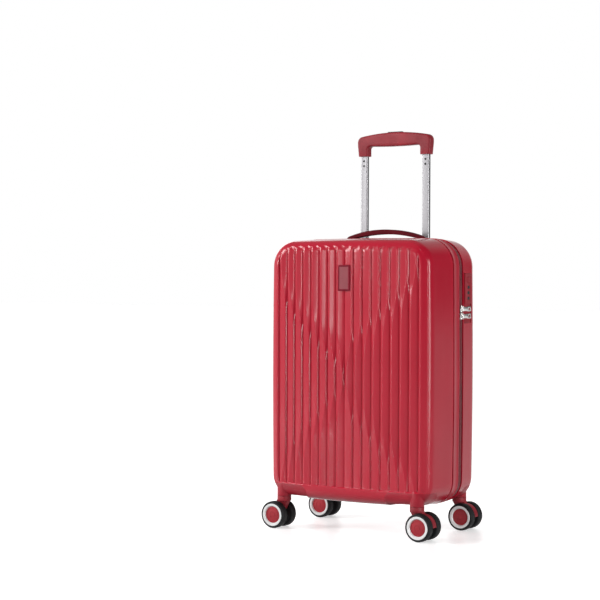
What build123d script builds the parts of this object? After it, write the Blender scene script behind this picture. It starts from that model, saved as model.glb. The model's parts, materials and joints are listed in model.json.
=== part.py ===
from build123d import *
from math import atan2, cos, degrees, hypot, sin
import os

# Cabin suitcase: two hard shells hinged on the left, standing on four twin-wheel casters.
# Millimetres. X to the right, Y to the back, Z up. The origin is on the floor, midway
# between the four swivel stems. The case is closed and the trolley is partly pulled out.

# ---------------------------------------------------------------- driving dimensions
CASE_WIDTH = 345.6        # over the sides, at mid height
CASE_TOP = 540.0          # highest line of the closed case, handles left out
CASE_BOTTOM = 54.0        # lowest line of the shells
CROWN = 2.4               # how far each long side of the outline bows outwards
TOP_CORNER_R = 52.0
BOTTOM_CORNER_R = 44.0
WALL = 2.5                # moulded shell wall
DRAFT_DEG = 3.0           # the shells narrow away from the zipper

FRONT_FACE_Y = -103.8     # crest of the bowed front face
FRONT_BOW_R = 1126.0      # bow of the front face
FRONT_EDGE_R = 22.0
FRONT_RIM_Y = -7.2
BAND_Y = (-3.8, 16.8)     # stiff strip between the expansion zipper and the main zipper
ZIP_Y = 24.8              # where the two rows of main zipper teeth meet
REAR_RIM_Y = 32.8
REAR_FACE_Y = 95.5
REAR_EDGE_R = 26.0

RIB_PITCH = 18.3
RIB_COUNT = 17
RIB_Z = (86.0, 522.0)
RIB_DEPTH = 1.1

STEM_X = 140.5            # swivel stems of the casters
STEM_Y = 82.8
WHEEL_R = 25.0
TRAIL = 12.4              # the axle trails this far outboard of the stem
WHEEL_WIDTH = 15.0
WHEEL_GAP = 16.0          # between the two wheels of a caster
AXLE_R = 3.0
STEM_R = 5.0
RUNNING = 0.05            # radial clearance of a pin in its bore
SLIDING = 0.3             # clearance of the telescoping tubes, all round

RECESS_X = 82.0           # wheel recess moulded into each bottom corner
RECESS_Y = 46.0
RECESS_TOP = 84.0
RECESS_R = 15.0

TUBE_X = 66.7             # trolley tubes
TUBE_Y = 86.0
INNER_TUBE = (14.5, 8.6)
MIDDLE_TUBE = (16.9, 11.0)
OUTER_TUBE = (19.5, 13.6)
TUBE_WALL = 0.9
INNER_TUBE_Z = (273.0, 718.0)
MIDDLE_TUBE_Z = (84.0, 506.0)
OUTER_TUBE_Z = (80.0, 503.0)
GRIP_TOP = 744.0
GRIP_DEPTH = 18.0

HANDLE_Y = 50.0           # top carry handle
HANDLE_LEG_X = 74.0
HANDLE_TOP = 558.0

LOCK_Y = 49.0             # combination lock on the right side
LOCK_Z = (384.0, 476.0)
DIAL_R = 8.0
DIAL_Z = (430.0, 440.0, 450.0)
DIAL_X = 167.6
TAB_GAP_Z = 404.0         # the two zipper sliders meet here

CASE_MID_Z = (CASE_TOP + CASE_BOTTOM) / 2
HALF_W = CASE_WIDTH / 2
FAR = 900.0               # longer than any cut needs to be
SHELL_REACH = 110.0       # deeper than either shell
RIB_GROOVE = 2.4          # width of a groove between two ribs
HOLE_PLAY = 0.1           # a part's opening is this much larger on each side

os.makedirs("parts", exist_ok=True)


def save(piece, name):
    piece.label = name
    export_step(piece, f"parts/{name}.step")


def facing(y, side):
    """Upright plane at y whose normal points to the back (side 1) or the front (side -1)."""
    return Plane(origin=(0, y, 0), x_dir=(-side, 0, 0), z_dir=(0, side, 0))


def bow_radius(length):
    """Radius of an arc of this length that rises by CROWN in the middle."""
    return ((length / 2) ** 2 + CROWN**2) / (2 * CROWN)


def case_outline(inset):
    """Front view of the case: four bowed sides and rounded corners, moved inwards by inset."""
    side_r = bow_radius(CASE_TOP - CASE_BOTTOM)
    level_r = bow_radius(CASE_WIDTH)
    with BuildSketch() as sketch:
        with Locations((HALF_W - side_r, CASE_MID_Z)):
            Circle(side_r - inset)
        with Locations((side_r - HALF_W, CASE_MID_Z)):
            Circle(side_r - inset, mode=Mode.INTERSECT)
        with Locations((0, CASE_TOP - level_r)):
            Circle(level_r - inset, mode=Mode.INTERSECT)
        with Locations((0, CASE_BOTTOM + level_r)):
            Circle(level_r - inset, mode=Mode.INTERSECT)
        fillet(sketch.vertices().filter_by(lambda v: v.Y < CASE_MID_Z), BOTTOM_CORNER_R - inset)
        fillet(sketch.vertices().group_by(Axis.Y)[-1], TOP_CORNER_R - inset)
    return sketch.sketch


def ring(y_from, y_to, inset, thickness):
    """Frame that follows the outline of the case, from y_from to y_to."""
    outer = case_outline(inset)
    inner = case_outline(inset + thickness)
    with BuildPart() as frame:
        with BuildSketch(facing(y_from, 1)):
            add(outer)
            add(inner, mode=Mode.SUBTRACT)
        extrude(amount=y_to - y_from)
    return frame.part


def front_dish(inset, rim_y=FRONT_RIM_Y):
    """Closed solid of the front half, moved inwards by inset."""
    outline = case_outline(inset)
    bow_r = FRONT_BOW_R - inset
    with BuildPart() as dish:
        with BuildSketch(facing(rim_y, -1)):
            add(outline)
        extrude(amount=SHELL_REACH, taper=DRAFT_DEG)
        with Locations((0, FRONT_FACE_Y + FRONT_BOW_R, CASE_MID_Z)):
            Cylinder(bow_r, 2 * FAR, mode=Mode.INTERSECT)
        fillet(dish.faces().sort_by(Axis.Y)[0].outer_wire().edges(), FRONT_EDGE_R - inset)
    return dish.part


def rear_dish(inset, rim_y=REAR_RIM_Y, face_y=REAR_FACE_Y):
    """Closed solid of the rear half, moved inwards by inset."""
    outline = case_outline(inset)
    with BuildPart() as dish:
        with BuildSketch(facing(rim_y, 1)):
            add(outline)
        extrude(amount=face_y - inset - rim_y, taper=DRAFT_DEG)
        fillet(dish.faces().sort_by(Axis.Y)[-1].outer_wire().edges(), REAR_EDGE_R - inset)
    return dish.part


def block(x, y, z):
    """Plain box given by its lowest and highest value along each axis."""
    size = [high - low for low, high in (x, y, z)]
    middle = [(low + high) / 2 for low, high in (x, y, z)]
    return Pos(*middle) * Box(*size)


def recess(side_x, side_y, grow):
    """Wheel recess block of one corner, grown outwards by grow."""
    x = sorted((side_x * (RECESS_X - grow), side_x * FAR))
    y = sorted((side_y * (RECESS_Y - grow), side_y * FAR))
    raw = block(x, y, (-FAR, RECESS_TOP + grow))
    with BuildPart() as corner:
        add(raw)
        inboard = corner.faces().sort_by(Axis.X)[0 if side_x > 0 else -1]
        midward = corner.faces().sort_by(Axis.Y)[0 if side_y > 0 else -1]
        roof = corner.faces().sort_by(Axis.Z)[-1]
        rounded = [e for e in roof.edges() if e in inboard.edges() or e in midward.edges()]
        rounded += [e for e in inboard.edges() if e in midward.edges()]
        fillet(rounded, RECESS_R + grow)
    return corner.part


def without(solid, *cutters):
    """The solid with every cutter taken away."""
    with BuildPart() as result:
        add(solid)
        for cutter in cutters:
            add(cutter, mode=Mode.SUBTRACT)
    return result.part


def common(solid, other):
    """What two solids share."""
    with BuildPart() as result:
        add(solid)
        add(other, mode=Mode.INTERSECT)
    return result.part


def both_sides(make):
    """The same feature on the left and on the right."""
    return [make(-1), make(1)]


# ---------------------------------------------------------------- wheel housings and screws
SKIRT_Z = 63.0            # the housing's visible skirt ends here
COLLAR_R = 13.0
COLLAR_Z = 60.2
SCREW_SPOTS = ((100.0, 62.0), (100.0, 84.0), (150.0, 60.0))
SCREW_R = 2.0
SCREW_HEAD_R = 3.6
SCREW_Z = (72.0, 86.5, 88.6)   # tip, underside of the head and top of the head
SCREW_EDGE_R = 1.2
POST_R = 4.5              # posts that take the screws
POST_BELOW = 4.0
POST_TOP_GAP = 1.5
PILOT_BELOW = 0.5
HOUSING_FIT = 0.15        # gap between a housing and the shell


def upright_cylinder(x, y, z_from, z_to, radius):
    return Pos(x, y, (z_from + z_to) / 2) * Cylinder(radius, z_to - z_from)


def wheel_housing(side_x, side_y, dish, dish_inside):
    """Moulded cup that fills a corner recess, open below, with the bearing boss of the stem."""
    inside = recess(side_x, side_y, -HOUSING_FIT - WALL)
    body = common(dish, recess(side_x, side_y, -HOUSING_FIT))
    hollow = common(dish_inside, inside)
    below = common(inside, block((-FAR, FAR), (-FAR, FAR), (-FAR, SKIRT_Z)))
    cup = without(body, hollow, below)
    roof = RECESS_TOP - HOUSING_FIT
    x, y = side_x * STEM_X, side_y * STEM_Y
    boss = upright_cylinder(x, y, COLLAR_Z, roof, COLLAR_R)
    bore = upright_cylinder(x, y, 0, roof - WALL, STEM_R + RUNNING)
    screw_posts = [
        upright_cylinder(side_x * sx, side_y * sy, SCREW_Z[0] - POST_BELOW, roof - POST_TOP_GAP, POST_R)
        for sx, sy in SCREW_SPOTS
    ]
    pilot_holes = [
        upright_cylinder(side_x * sx, side_y * sy, SCREW_Z[0] - PILOT_BELOW, FAR, SCREW_R + RUNNING)
        for sx, sy in SCREW_SPOTS
    ]
    with BuildPart() as housing:
        add(cup)
        add(boss)
        add(screw_posts)
        add(bore, mode=Mode.SUBTRACT)
        add(pilot_holes, mode=Mode.SUBTRACT)
    return housing.part


def housing_screws(side_x, side_y):
    """Pan-head screws that hold one housing from inside the case."""
    screws = []
    for spot_x, spot_y in SCREW_SPOTS:
        x, y = side_x * spot_x, side_y * spot_y
        with BuildPart() as screw:
            with BuildSketch(Plane.XY.offset(SCREW_Z[0])):
                with Locations((x, y)):
                    Circle(SCREW_R)
            extrude(amount=SCREW_Z[1] - SCREW_Z[0])
            with BuildSketch(Plane.XY.offset(SCREW_Z[1])):
                with Locations((x, y)):
                    Circle(SCREW_HEAD_R)
            extrude(amount=SCREW_Z[2] - SCREW_Z[1])
            fillet(screw.faces().sort_by(Axis.Z)[-1].edges(), SCREW_EDGE_R)
        screws.append(screw.part)
    return screws


def screw_holes(side_x, side_y):
    """Clearance holes of the screws in the shell above a recess."""
    return [
        upright_cylinder(
            side_x * sx, side_y * sy, RECESS_TOP - WALL, RECESS_TOP + 2 * WALL, SCREW_R + HOLE_PLAY
        )
        for sx, sy in SCREW_SPOTS
    ]


def save_group(solids, name):
    save(Compound(label=name, children=solids), name)


# ---------------------------------------------------------------- front shell
front_outside = front_dish(0)
front_inside = front_dish(WALL)
front_recesses = both_sides(lambda side: recess(side, -1, 0))
front_cavity = without(front_inside, *both_sides(lambda side: recess(side, -1, WALL)))
front_holes = screw_holes(-1, -1) + screw_holes(1, -1)

with BuildPart() as front_shell:
    add(front_outside)
    add(front_recesses, mode=Mode.SUBTRACT)
    add(front_cavity, mode=Mode.SUBTRACT)
    add(front_holes, mode=Mode.SUBTRACT)
    # pressed grooves between the upright ribs, following the bow of the face
    with BuildSketch(Plane.XY.offset(RIB_Z[0])):
        for number in range(RIB_COUNT):
            x = (number - (RIB_COUNT - 1) / 2) * RIB_PITCH
            y = FRONT_FACE_Y + FRONT_BOW_R - (FRONT_BOW_R**2 - x**2) ** 0.5
            with Locations((x, y)):
                Rectangle(RIB_GROOVE, 2 * RIB_DEPTH, rotation=degrees(x / FRONT_BOW_R))
    extrude(amount=RIB_Z[1] - RIB_Z[0], mode=Mode.SUBTRACT)
save(front_shell.part, "front_shell")

BADGE = (25.0, 47.0)
BADGE_Z = 466.5
BADGE_RISE = 1.4          # above the crest of the face
BADGE_BACK = 1.0          # it reaches this far behind the crest, to the face's hollow edge
BADGE_FRAME = 3.0
BADGE_PANEL_DEPTH = 0.6
with BuildPart() as badge:
    with BuildSketch(facing(FRONT_FACE_Y + BADGE_BACK, -1)):
        with Locations((0, BADGE_Z)):
            RectangleRounded(*BADGE, 2)
    extrude(amount=BADGE_BACK + BADGE_RISE)
    chamfer(badge.faces().sort_by(Axis.Y)[0].edges(), 0.5)
    add(front_outside, mode=Mode.SUBTRACT)
    with BuildSketch(Plane(badge.faces().sort_by(Axis.Y)[0])):
        RectangleRounded(BADGE[0] - 2 * BADGE_FRAME, BADGE[1] - 2 * BADGE_FRAME, 1.5)
    extrude(amount=-BADGE_PANEL_DEPTH, mode=Mode.SUBTRACT)
save(badge.part, "badge")

front_housings = both_sides(
    lambda side: wheel_housing(side, -1, front_outside, front_inside)
)
save_group(front_housings, "front_wheel_housings")
save_group(housing_screws(-1, -1) + housing_screws(1, -1), "front_housing_screws")

# ---------------------------------------------------------------- linings
LINING_INSET = 4.4
LINING = 0.8
LINING_GROW = 5.0         # the lining clears the wheel recesses and their screw heads by this


def lining(dish, rim_y, side_y, bulges, **shape):
    """Cloth skin inside one half, open at the rim, drawn over whatever stands inside."""
    outer, inner = [
        without(
            dish(LINING_INSET + layer, rim_y=rim_y, **shape),
            *both_sides(lambda side: recess(side, side_y, LINING_GROW + layer)),
            *[block(*[(low - layer, high + layer) for low, high in bulge]) for bulge in bulges],
        )
        for layer in (0, LINING)
    ]
    return without(outer, inner)


RIM_SHOWS = 2.0           # of the shell's rim, beyond the edge of the lining
front_lining = lining(front_dish, FRONT_RIM_Y - RIM_SHOWS, -1, [])
save(front_lining, "front_lining")

REAR_LINING_Y = 36.0
TUBE_COVER_Y = 77.5       # the rear lining hangs in front of the trolley tubes
NEST_BULGE = ((-92, 92), (67, FAR), (500, FAR))
LEG_BULGE_X = (67, 81)
LEG_BULGE = ((41, 59), (510, FAR))
LOCK_BULGE = ((155, FAR), (-FAR, 65), (LOCK_Z[0] - 4, LOCK_Z[1] + 4))
rear_bulges = [
    NEST_BULGE, LOCK_BULGE, (LEG_BULGE_X, *LEG_BULGE), ((-LEG_BULGE_X[1], -LEG_BULGE_X[0]), *LEG_BULGE)
]
rear_lining = lining(
    rear_dish, REAR_LINING_Y, 1, rear_bulges, face_y=TUBE_COVER_Y + LINING_INSET
)
save(rear_lining, "rear_lining")

# ---------------------------------------------------------------- band, gusset and zippers
LIP = 0.6                 # raised edge lines of the band
LIP_WIDTH = 2.4
LIP_ROOT = 1.0            # the lips reach this far into the band
band_body = ring(*BAND_Y, 0, WALL)
band_lips = [
    ring(BAND_Y[0], BAND_Y[0] + LIP_WIDTH, -LIP, LIP + LIP_ROOT),
    ring(BAND_Y[1] - LIP_WIDTH, BAND_Y[1], -LIP, LIP + LIP_ROOT),
]
with BuildPart() as expansion_band:
    add(band_body)
    add(band_lips)
save(expansion_band.part, "expansion_band")

GUSSET_Y = (-14.0, 6.0)
GUSSET_INSET = 2.9
CLOTH = 0.8
save(ring(*GUSSET_Y, GUSSET_INSET, CLOTH), "gusset")

TAPE_INSET = 3.0
TAPE = 1.0
TEETH = 2.3               # width of one row of teeth
TEETH_GAP = 0.1
TAPE_SEWN = (10.0, 36.2)  # the tapes run this far under the band and the rear shell
TEETH_RISE = 1.0
TEETH_THICK = 1.5


def zipper_half(y_tape, y_teeth):
    """Cloth tape and the raised row of teeth along its edge."""
    tape_ring = ring(*y_tape, TAPE_INSET, TAPE)
    teeth_ring = ring(*y_teeth, TAPE_INSET - TEETH_RISE, TEETH_THICK)
    with BuildPart() as half:
        add(tape_ring)
        add(teeth_ring)
    return half.part


front_meet = ZIP_Y - TEETH_GAP
rear_meet = ZIP_Y + TEETH_GAP
save(zipper_half((TAPE_SEWN[0], front_meet), (front_meet - TEETH, front_meet)), "main_zip_front")
save(zipper_half((rear_meet, TAPE_SEWN[1]), (rear_meet, rear_meet + TEETH)), "main_zip_rear")

STRIP_GAP = 0.3           # between the hinge strip and the rims it joins
STRIP_INSET = 0.9
STRIP_Z = (110.0, 480.0)
strip_ring = ring(BAND_Y[1] + STRIP_GAP, REAR_RIM_Y - STRIP_GAP, STRIP_INSET, CLOTH)
save(common(strip_ring, block((-FAR, 0), (-FAR, FAR), STRIP_Z)), "hinge_strip")

# ---------------------------------------------------------------- rear shell
rear_outside = rear_dish(0)
rear_inside = rear_dish(WALL)
rear_cavity = without(rear_inside, *both_sides(lambda side: recess(side, 1, WALL)))
rear_recesses = both_sides(lambda side: recess(side, 1, 0))
rear_holes = screw_holes(-1, 1) + screw_holes(1, 1)

NEST_X = 83.0             # nest of the stowed grip, in the upper rear edge
NEST_Y = 74.3
NEST_Z = 508.0
BEZEL_X = 90.0
BEZEL_Y = 69.0
BEZEL_Z = 503.0
LEG = (4.0, 12.0)         # carry handle leg
LEG_FIT = 0.35
LEG_SLOT_DEPTH = 30.0
LOCK_X = (158.0, 174.7)
LOCK_SIDES = (36.5, 62.0)
lock_opening = block(
    (LOCK_X[0], FAR),
    (LOCK_SIDES[0] - HOLE_PLAY, LOCK_SIDES[1] + HOLE_PLAY),
    (LOCK_Z[0] - HOLE_PLAY, LOCK_Z[1] + HOLE_PLAY),
)
bezel_opening = block(
    (-BEZEL_X - HOLE_PLAY, BEZEL_X + HOLE_PLAY), (BEZEL_Y - HOLE_PLAY, FAR), (BEZEL_Z - HOLE_PLAY, FAR)
)
leg_slots = both_sides(
    lambda side: Pos(side * HANDLE_LEG_X, HANDLE_Y, CASE_TOP)
    * Box(LEG[0] + 2 * LEG_FIT, LEG[1] + 2 * LEG_FIT, LEG_SLOT_DEPTH)
)

with BuildPart() as rear_shell:
    add(rear_outside)
    add(rear_recesses, mode=Mode.SUBTRACT)
    add(rear_cavity, mode=Mode.SUBTRACT)
    add(rear_holes, mode=Mode.SUBTRACT)
    add(lock_opening, mode=Mode.SUBTRACT)
    add(bezel_opening, mode=Mode.SUBTRACT)
    add(leg_slots, mode=Mode.SUBTRACT)
save(rear_shell.part, "rear_shell")

rear_housings = both_sides(lambda side: wheel_housing(side, 1, rear_outside, rear_inside))
save_group(rear_housings, "rear_wheel_housings")
save_group(housing_screws(-1, 1) + housing_screws(1, 1), "rear_housing_screws")

# ---------------------------------------------------------------- packing straps
STRAP_Y = 37.0
STRAP = (25.0, 1.2)
BUCKLE = (46.0, 9.0, 34.0)
STRAP_REACH = (160.0, 60.0)   # a strap runs out by the first and up or down by the second
STRAP_ANGLE = atan2(STRAP_REACH[1], STRAP_REACH[0])
STRAP_LENGTH = hypot(*STRAP_REACH) + 40
STRAP_GAP = 1.0           # half the gap between two straps, under the buckle
LINING_GAP = 0.15
BUCKLE_FRONT = 4.0        # the buckle stands this far in front of the straps
strap_limit = case_outline(LINING_INSET + LINING + LINING_GAP)
straps = []
for sign_x in (-1, 1):
    for sign_z in (-1, 1):
        with BuildPart() as strap:
            with BuildSketch(facing(STRAP_Y, 1)):
                spot = (
                    -sign_x * STRAP_LENGTH / 2 * cos(STRAP_ANGLE),
                    CASE_MID_Z + sign_z * STRAP_LENGTH / 2 * sin(STRAP_ANGLE),
                )
                with Locations(spot):
                    Rectangle(
                        STRAP_LENGTH, STRAP[0], rotation=-sign_x * sign_z * degrees(STRAP_ANGLE)
                    )
                with Locations((0, CASE_MID_Z)):
                    Rectangle(BUCKLE[0], BUCKLE[2], mode=Mode.SUBTRACT)
                quarter = (
                    -sign_x * (FAR / 2 + STRAP_GAP), CASE_MID_Z + sign_z * (FAR / 2 + STRAP_GAP)
                )
                with Locations(quarter):
                    Rectangle(FAR, FAR, mode=Mode.INTERSECT)
                add(strap_limit, mode=Mode.INTERSECT)
            extrude(amount=STRAP[1])
        straps.append(strap.part)
save_group(straps, "packing_straps")

with BuildPart() as strap_buckle:
    with BuildSketch(facing(STRAP_Y - BUCKLE_FRONT, 1)):
        with Locations((0, CASE_MID_Z)):
            RectangleRounded(BUCKLE[0], BUCKLE[2], 6)
    extrude(amount=BUCKLE[1])
    fillet(strap_buckle.faces().sort_by(Axis.Y)[0].edges(), 2)
save(strap_buckle.part, "strap_buckle")

# ---------------------------------------------------------------- trolley
TUBE_CORNER_R = 2.2
OUTER_TUBE_WALL = 1.0


def tube_pair(size, wall, z_range):
    """Two square-cornered aluminium tubes, left and right."""
    tubes = []
    for side in (-1, 1):
        with BuildPart() as tube:
            with BuildSketch(Plane.XY.offset(z_range[0])):
                with Locations((side * TUBE_X, TUBE_Y)):
                    RectangleRounded(*size, TUBE_CORNER_R)
                    inside = (size[0] - 2 * wall, size[1] - 2 * wall)
                    RectangleRounded(*inside, TUBE_CORNER_R - wall, mode=Mode.SUBTRACT)
            extrude(amount=z_range[1] - z_range[0])
        tubes.append(tube.part)
    return tubes


PLUG_R = 2.2
PLUG_Z = (681.5, 691.0)
PLUG_DEPTH = 1.4


def tube_plugs(radius):
    """Small round plugs in the front and back walls of the inner tubes, below the grip."""
    plugs = []
    for side in (-1, 1):
        for z in PLUG_Z:
            for face in (-1, 1):
                y = TUBE_Y + face * (INNER_TUBE[1] - PLUG_DEPTH) / 2
                plugs.append(Pos(side * TUBE_X, y, z) * Rot(90, 0, 0) * Cylinder(radius, PLUG_DEPTH))
    return plugs


save_group(
    [without(tube, *tube_plugs(PLUG_R)) for tube in tube_pair(INNER_TUBE, TUBE_WALL, INNER_TUBE_Z)],
    "inner_tubes",
)
save_group(tube_plugs(PLUG_R), "tube_plugs")
save_group(tube_pair(MIDDLE_TUBE, TUBE_WALL, MIDDLE_TUBE_Z), "middle_tubes")
save_group(tube_pair(OUTER_TUBE, OUTER_TUBE_WALL, OUTER_TUBE_Z), "outer_tubes")

FOOT_BOTTOM = 66.0
FOOT = (2 * TUBE_X + 23, 15.0)
FOOT_SHIFT = 0.4          # towards the lining, which hangs in front
foot_room = rear_dish(WALL + HOLE_PLAY)
with BuildPart() as tube_foot:
    with BuildSketch(Plane.XY.offset(FOOT_BOTTOM)):
        with Locations((0, TUBE_Y - FOOT_SHIFT)):
            RectangleRounded(*FOOT, 3)
    extrude(amount=OUTER_TUBE_Z[0] - FOOT_BOTTOM)
    add(foot_room, mode=Mode.INTERSECT)
save(tube_foot.part, "tube_foot")

bezel_block = common(
    rear_outside, block((-BEZEL_X, BEZEL_X), (BEZEL_Y, FAR), (BEZEL_Z, FAR))
)
nest = block((-NEST_X, NEST_X), (NEST_Y, FAR), (NEST_Z, FAR))
with BuildPart() as trolley_bezel:
    add(bezel_block)
    add(nest, mode=Mode.SUBTRACT)
    with BuildSketch(Plane.XY.offset(BEZEL_Z)):
        with Locations((-TUBE_X, TUBE_Y), (TUBE_X, TUBE_Y)):
            RectangleRounded(MIDDLE_TUBE[0] + 2 * SLIDING, MIDDLE_TUBE[1] + 2 * SLIDING, 2.4)
    extrude(amount=NEST_Z - BEZEL_Z, mode=Mode.SUBTRACT)
save(trolley_bezel.part, "trolley_bezel")

LEG_BOTTOM = 700.0
TUBE_SOCKET_PLAY = 0.1    # of an inner tube in the grip
END_R = 11.0              # rounded ends of the bar
UNDER_R = 6.0
FLARE_R = 20.0
GRIP_EDGE_R = 4.5
BAR_WIDTH = 6.0           # of the bar that joins the release rods
BAR_PLAY = 0.4
ROD_R = 1.8
ROD_PLAY = 0.5
ROD_BOTTOM = 290.0
BUTTON_PLAY = 0.35
BUTTON_RISE = 1.2
LEG_IN = 56.2             # inner side of a grip leg
LEG_OUT = 77.2
GRIP_OUT = 79.5
GRIP_END_TOP = 736.0
LEG_FLARE = 722.0         # above this height the sides of the grip run straight up
GRIP_UNDER = 717.5        # underside of the bar in its middle
UNDER_END = 719.0         # and at its ends
BUTTON = (32.0, 8.4)
BUTTON_TRAVEL = 4.0
BAR_Z = (727.0, 731.0)    # bar that joins the button to the release rods

with BuildPart() as trolley_grip:
    with BuildSketch(facing(TUBE_Y + GRIP_DEPTH / 2, -1)) as grip_profile:
        with BuildLine():
            Polyline(
                (-LEG_IN, LEG_BOTTOM), (-LEG_OUT, LEG_BOTTOM), (-GRIP_OUT, LEG_FLARE),
                (-GRIP_OUT, GRIP_END_TOP),
            )
            ThreePointArc((-GRIP_OUT, GRIP_END_TOP), (0, GRIP_TOP), (GRIP_OUT, GRIP_END_TOP))
            Polyline(
                (GRIP_OUT, GRIP_END_TOP), (GRIP_OUT, LEG_FLARE), (LEG_OUT, LEG_BOTTOM),
                (LEG_IN, LEG_BOTTOM), (LEG_IN, UNDER_END),
            )
            ThreePointArc((LEG_IN, UNDER_END), (0, GRIP_UNDER), (-LEG_IN, UNDER_END))
            Line((-LEG_IN, UNDER_END), (-LEG_IN, LEG_BOTTOM))
        make_face()
        fillet([v for v in grip_profile.vertices() if v.Y > LEG_FLARE + 5], END_R)
        fillet([v for v in grip_profile.vertices() if abs(v.Y - UNDER_END) < 0.1], UNDER_R)
        fillet([v for v in grip_profile.vertices() if abs(v.Y - LEG_FLARE) < 0.1], FLARE_R)
    extrude(amount=GRIP_DEPTH)
    outer_faces = trolley_grip.faces().filter_by(Axis.Y)
    fillet(outer_faces.edges().filter_by(lambda e: e.center().Z > LEG_BOTTOM + 0.5), GRIP_EDGE_R)
    with BuildSketch(Plane.XY.offset(LEG_BOTTOM)):
        with Locations((-TUBE_X, TUBE_Y), (TUBE_X, TUBE_Y)):
            socket = (INNER_TUBE[0] + TUBE_SOCKET_PLAY, INNER_TUBE[1] + TUBE_SOCKET_PLAY)
            RectangleRounded(*socket, TUBE_CORNER_R)
    extrude(amount=INNER_TUBE_Z[1] - LEG_BOTTOM, mode=Mode.SUBTRACT)
    with BuildSketch(Plane.XY.offset(INNER_TUBE_Z[1])):
        with Locations((-TUBE_X, TUBE_Y), (TUBE_X, TUBE_Y)):
            Circle(ROD_R + ROD_PLAY)
    extrude(amount=BAR_Z[0] - INNER_TUBE_Z[1], mode=Mode.SUBTRACT)
    with BuildSketch(Plane.XY.offset(BAR_Z[0] - BUTTON_TRAVEL - BAR_PLAY)):
        with Locations((0, TUBE_Y)):
            Rectangle(2 * TUBE_X + 6, BAR_WIDTH + 2 * BAR_PLAY)
    extrude(amount=BAR_Z[1] - BAR_Z[0] + BUTTON_TRAVEL + 2 * BAR_PLAY, mode=Mode.SUBTRACT)
    with BuildSketch(Plane.XY.offset(BAR_Z[0])):
        with Locations((0, TUBE_Y)):
            RectangleRounded(BUTTON[0] + 2 * BUTTON_PLAY, BUTTON[1] + 2 * BUTTON_PLAY, 3)
    extrude(amount=FAR, mode=Mode.SUBTRACT)
save(trolley_grip.part, "trolley_grip")

with BuildPart() as release_button:
    with BuildSketch(Plane.XY.offset(BAR_Z[1])):
        with Locations((0, TUBE_Y)):
            RectangleRounded(*BUTTON, 2.6)
    extrude(amount=GRIP_TOP + BUTTON_RISE - BAR_Z[1])
    fillet(release_button.faces().sort_by(Axis.Z)[-1].edges(), 1)
save(release_button.part, "release_button")

with BuildPart() as release_rods:
    with BuildSketch(Plane.XY.offset(BAR_Z[0])):
        with Locations((0, TUBE_Y)):
            Rectangle(2 * TUBE_X + 5, BAR_WIDTH)
    extrude(amount=BAR_Z[1] - BAR_Z[0])
    with BuildSketch(Plane.XY.offset(ROD_BOTTOM)):
        with Locations((-TUBE_X, TUBE_Y), (TUBE_X, TUBE_Y)):
            Circle(ROD_R)
    extrude(amount=BAR_Z[0] - ROD_BOTTOM)
save(release_rods.part, "release_rods")

# ---------------------------------------------------------------- carry handle
HANDLE_DEPTH = 22.0
HANDLE_END_Z = 541.5      # underside of the arch at its ends
HANDLE_MID_Z = 549.0      # and in its middle
ARCH_X = (68.0, 76.0, 79.0)    # ends of the inner arc, of the outer arc and of the whole handle
ARCH_SHOULDER_Z = 545.5
ARCH_EDGE_R = 3.5
LEG_Z = 514.0
FOOT_Z = 517.0            # the wider feet of the legs end here
FOOT_SPREAD = 3.0
with BuildPart() as carry_handle:
    with BuildSketch(facing(HANDLE_Y + HANDLE_DEPTH / 2, -1)):
        with BuildLine():
            inner, shoulder, outer = ARCH_X
            Polyline((-inner, HANDLE_END_Z), (-outer, HANDLE_END_Z), (-shoulder, ARCH_SHOULDER_Z))
            ThreePointArc((-shoulder, ARCH_SHOULDER_Z), (0, HANDLE_TOP), (shoulder, ARCH_SHOULDER_Z))
            Polyline((shoulder, ARCH_SHOULDER_Z), (outer, HANDLE_END_Z), (inner, HANDLE_END_Z))
            ThreePointArc((inner, HANDLE_END_Z), (0, HANDLE_MID_Z), (-inner, HANDLE_END_Z))
        make_face()
    extrude(amount=HANDLE_DEPTH)
    arch_edges = carry_handle.faces().filter_by(Axis.Y).edges().filter_by(GeomType.CIRCLE)
    arch_middle = (HANDLE_MID_Z + HANDLE_TOP) / 2
    fillet(arch_edges.filter_by(lambda e: e.center().Z > arch_middle), ARCH_EDGE_R)
    for side in (-1, 1):
        with BuildSketch(Plane.XY.offset(LEG_Z)):
            with Locations((side * HANDLE_LEG_X, HANDLE_Y)):
                Rectangle(*LEG)
        extrude(amount=HANDLE_END_Z + 1 - LEG_Z)
        with BuildSketch(Plane.XY.offset(LEG_Z)):
            with Locations((side * HANDLE_LEG_X, HANDLE_Y)):
                Rectangle(LEG[0] + FOOT_SPREAD, LEG[1])
        extrude(amount=FOOT_Z - LEG_Z)
save(carry_handle.part, "carry_handle")

MOUNT = (24.0, 28.0)
MOUNT_Z = (530.0, 541.2)
MOUNT_SHIFT = 1.0         # outwards from the leg
handle_mounts = []
for side in (-1, 1):
    with BuildPart() as handle_mount:
        with BuildSketch(Plane.XY.offset(MOUNT_Z[0])):
            with Locations((side * (HANDLE_LEG_X + MOUNT_SHIFT), HANDLE_Y)):
                RectangleRounded(*MOUNT, 5)
        extrude(amount=MOUNT_Z[1] - MOUNT_Z[0])
        fillet(handle_mount.faces().sort_by(Axis.Z)[-1].edges(), 1.2)
        add(rear_outside, mode=Mode.SUBTRACT)
        with BuildSketch(Plane.XY.offset(MOUNT_Z[0])):
            with Locations((side * HANDLE_LEG_X, HANDLE_Y)):
                Rectangle(LEG[0] + 2 * LEG_FIT, LEG[1] + 2 * LEG_FIT)
        extrude(amount=LEG_SLOT_DEPTH, mode=Mode.SUBTRACT)
    handle_mounts.append(handle_mount.part)
save_group(handle_mounts, "handle_mounts")

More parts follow.
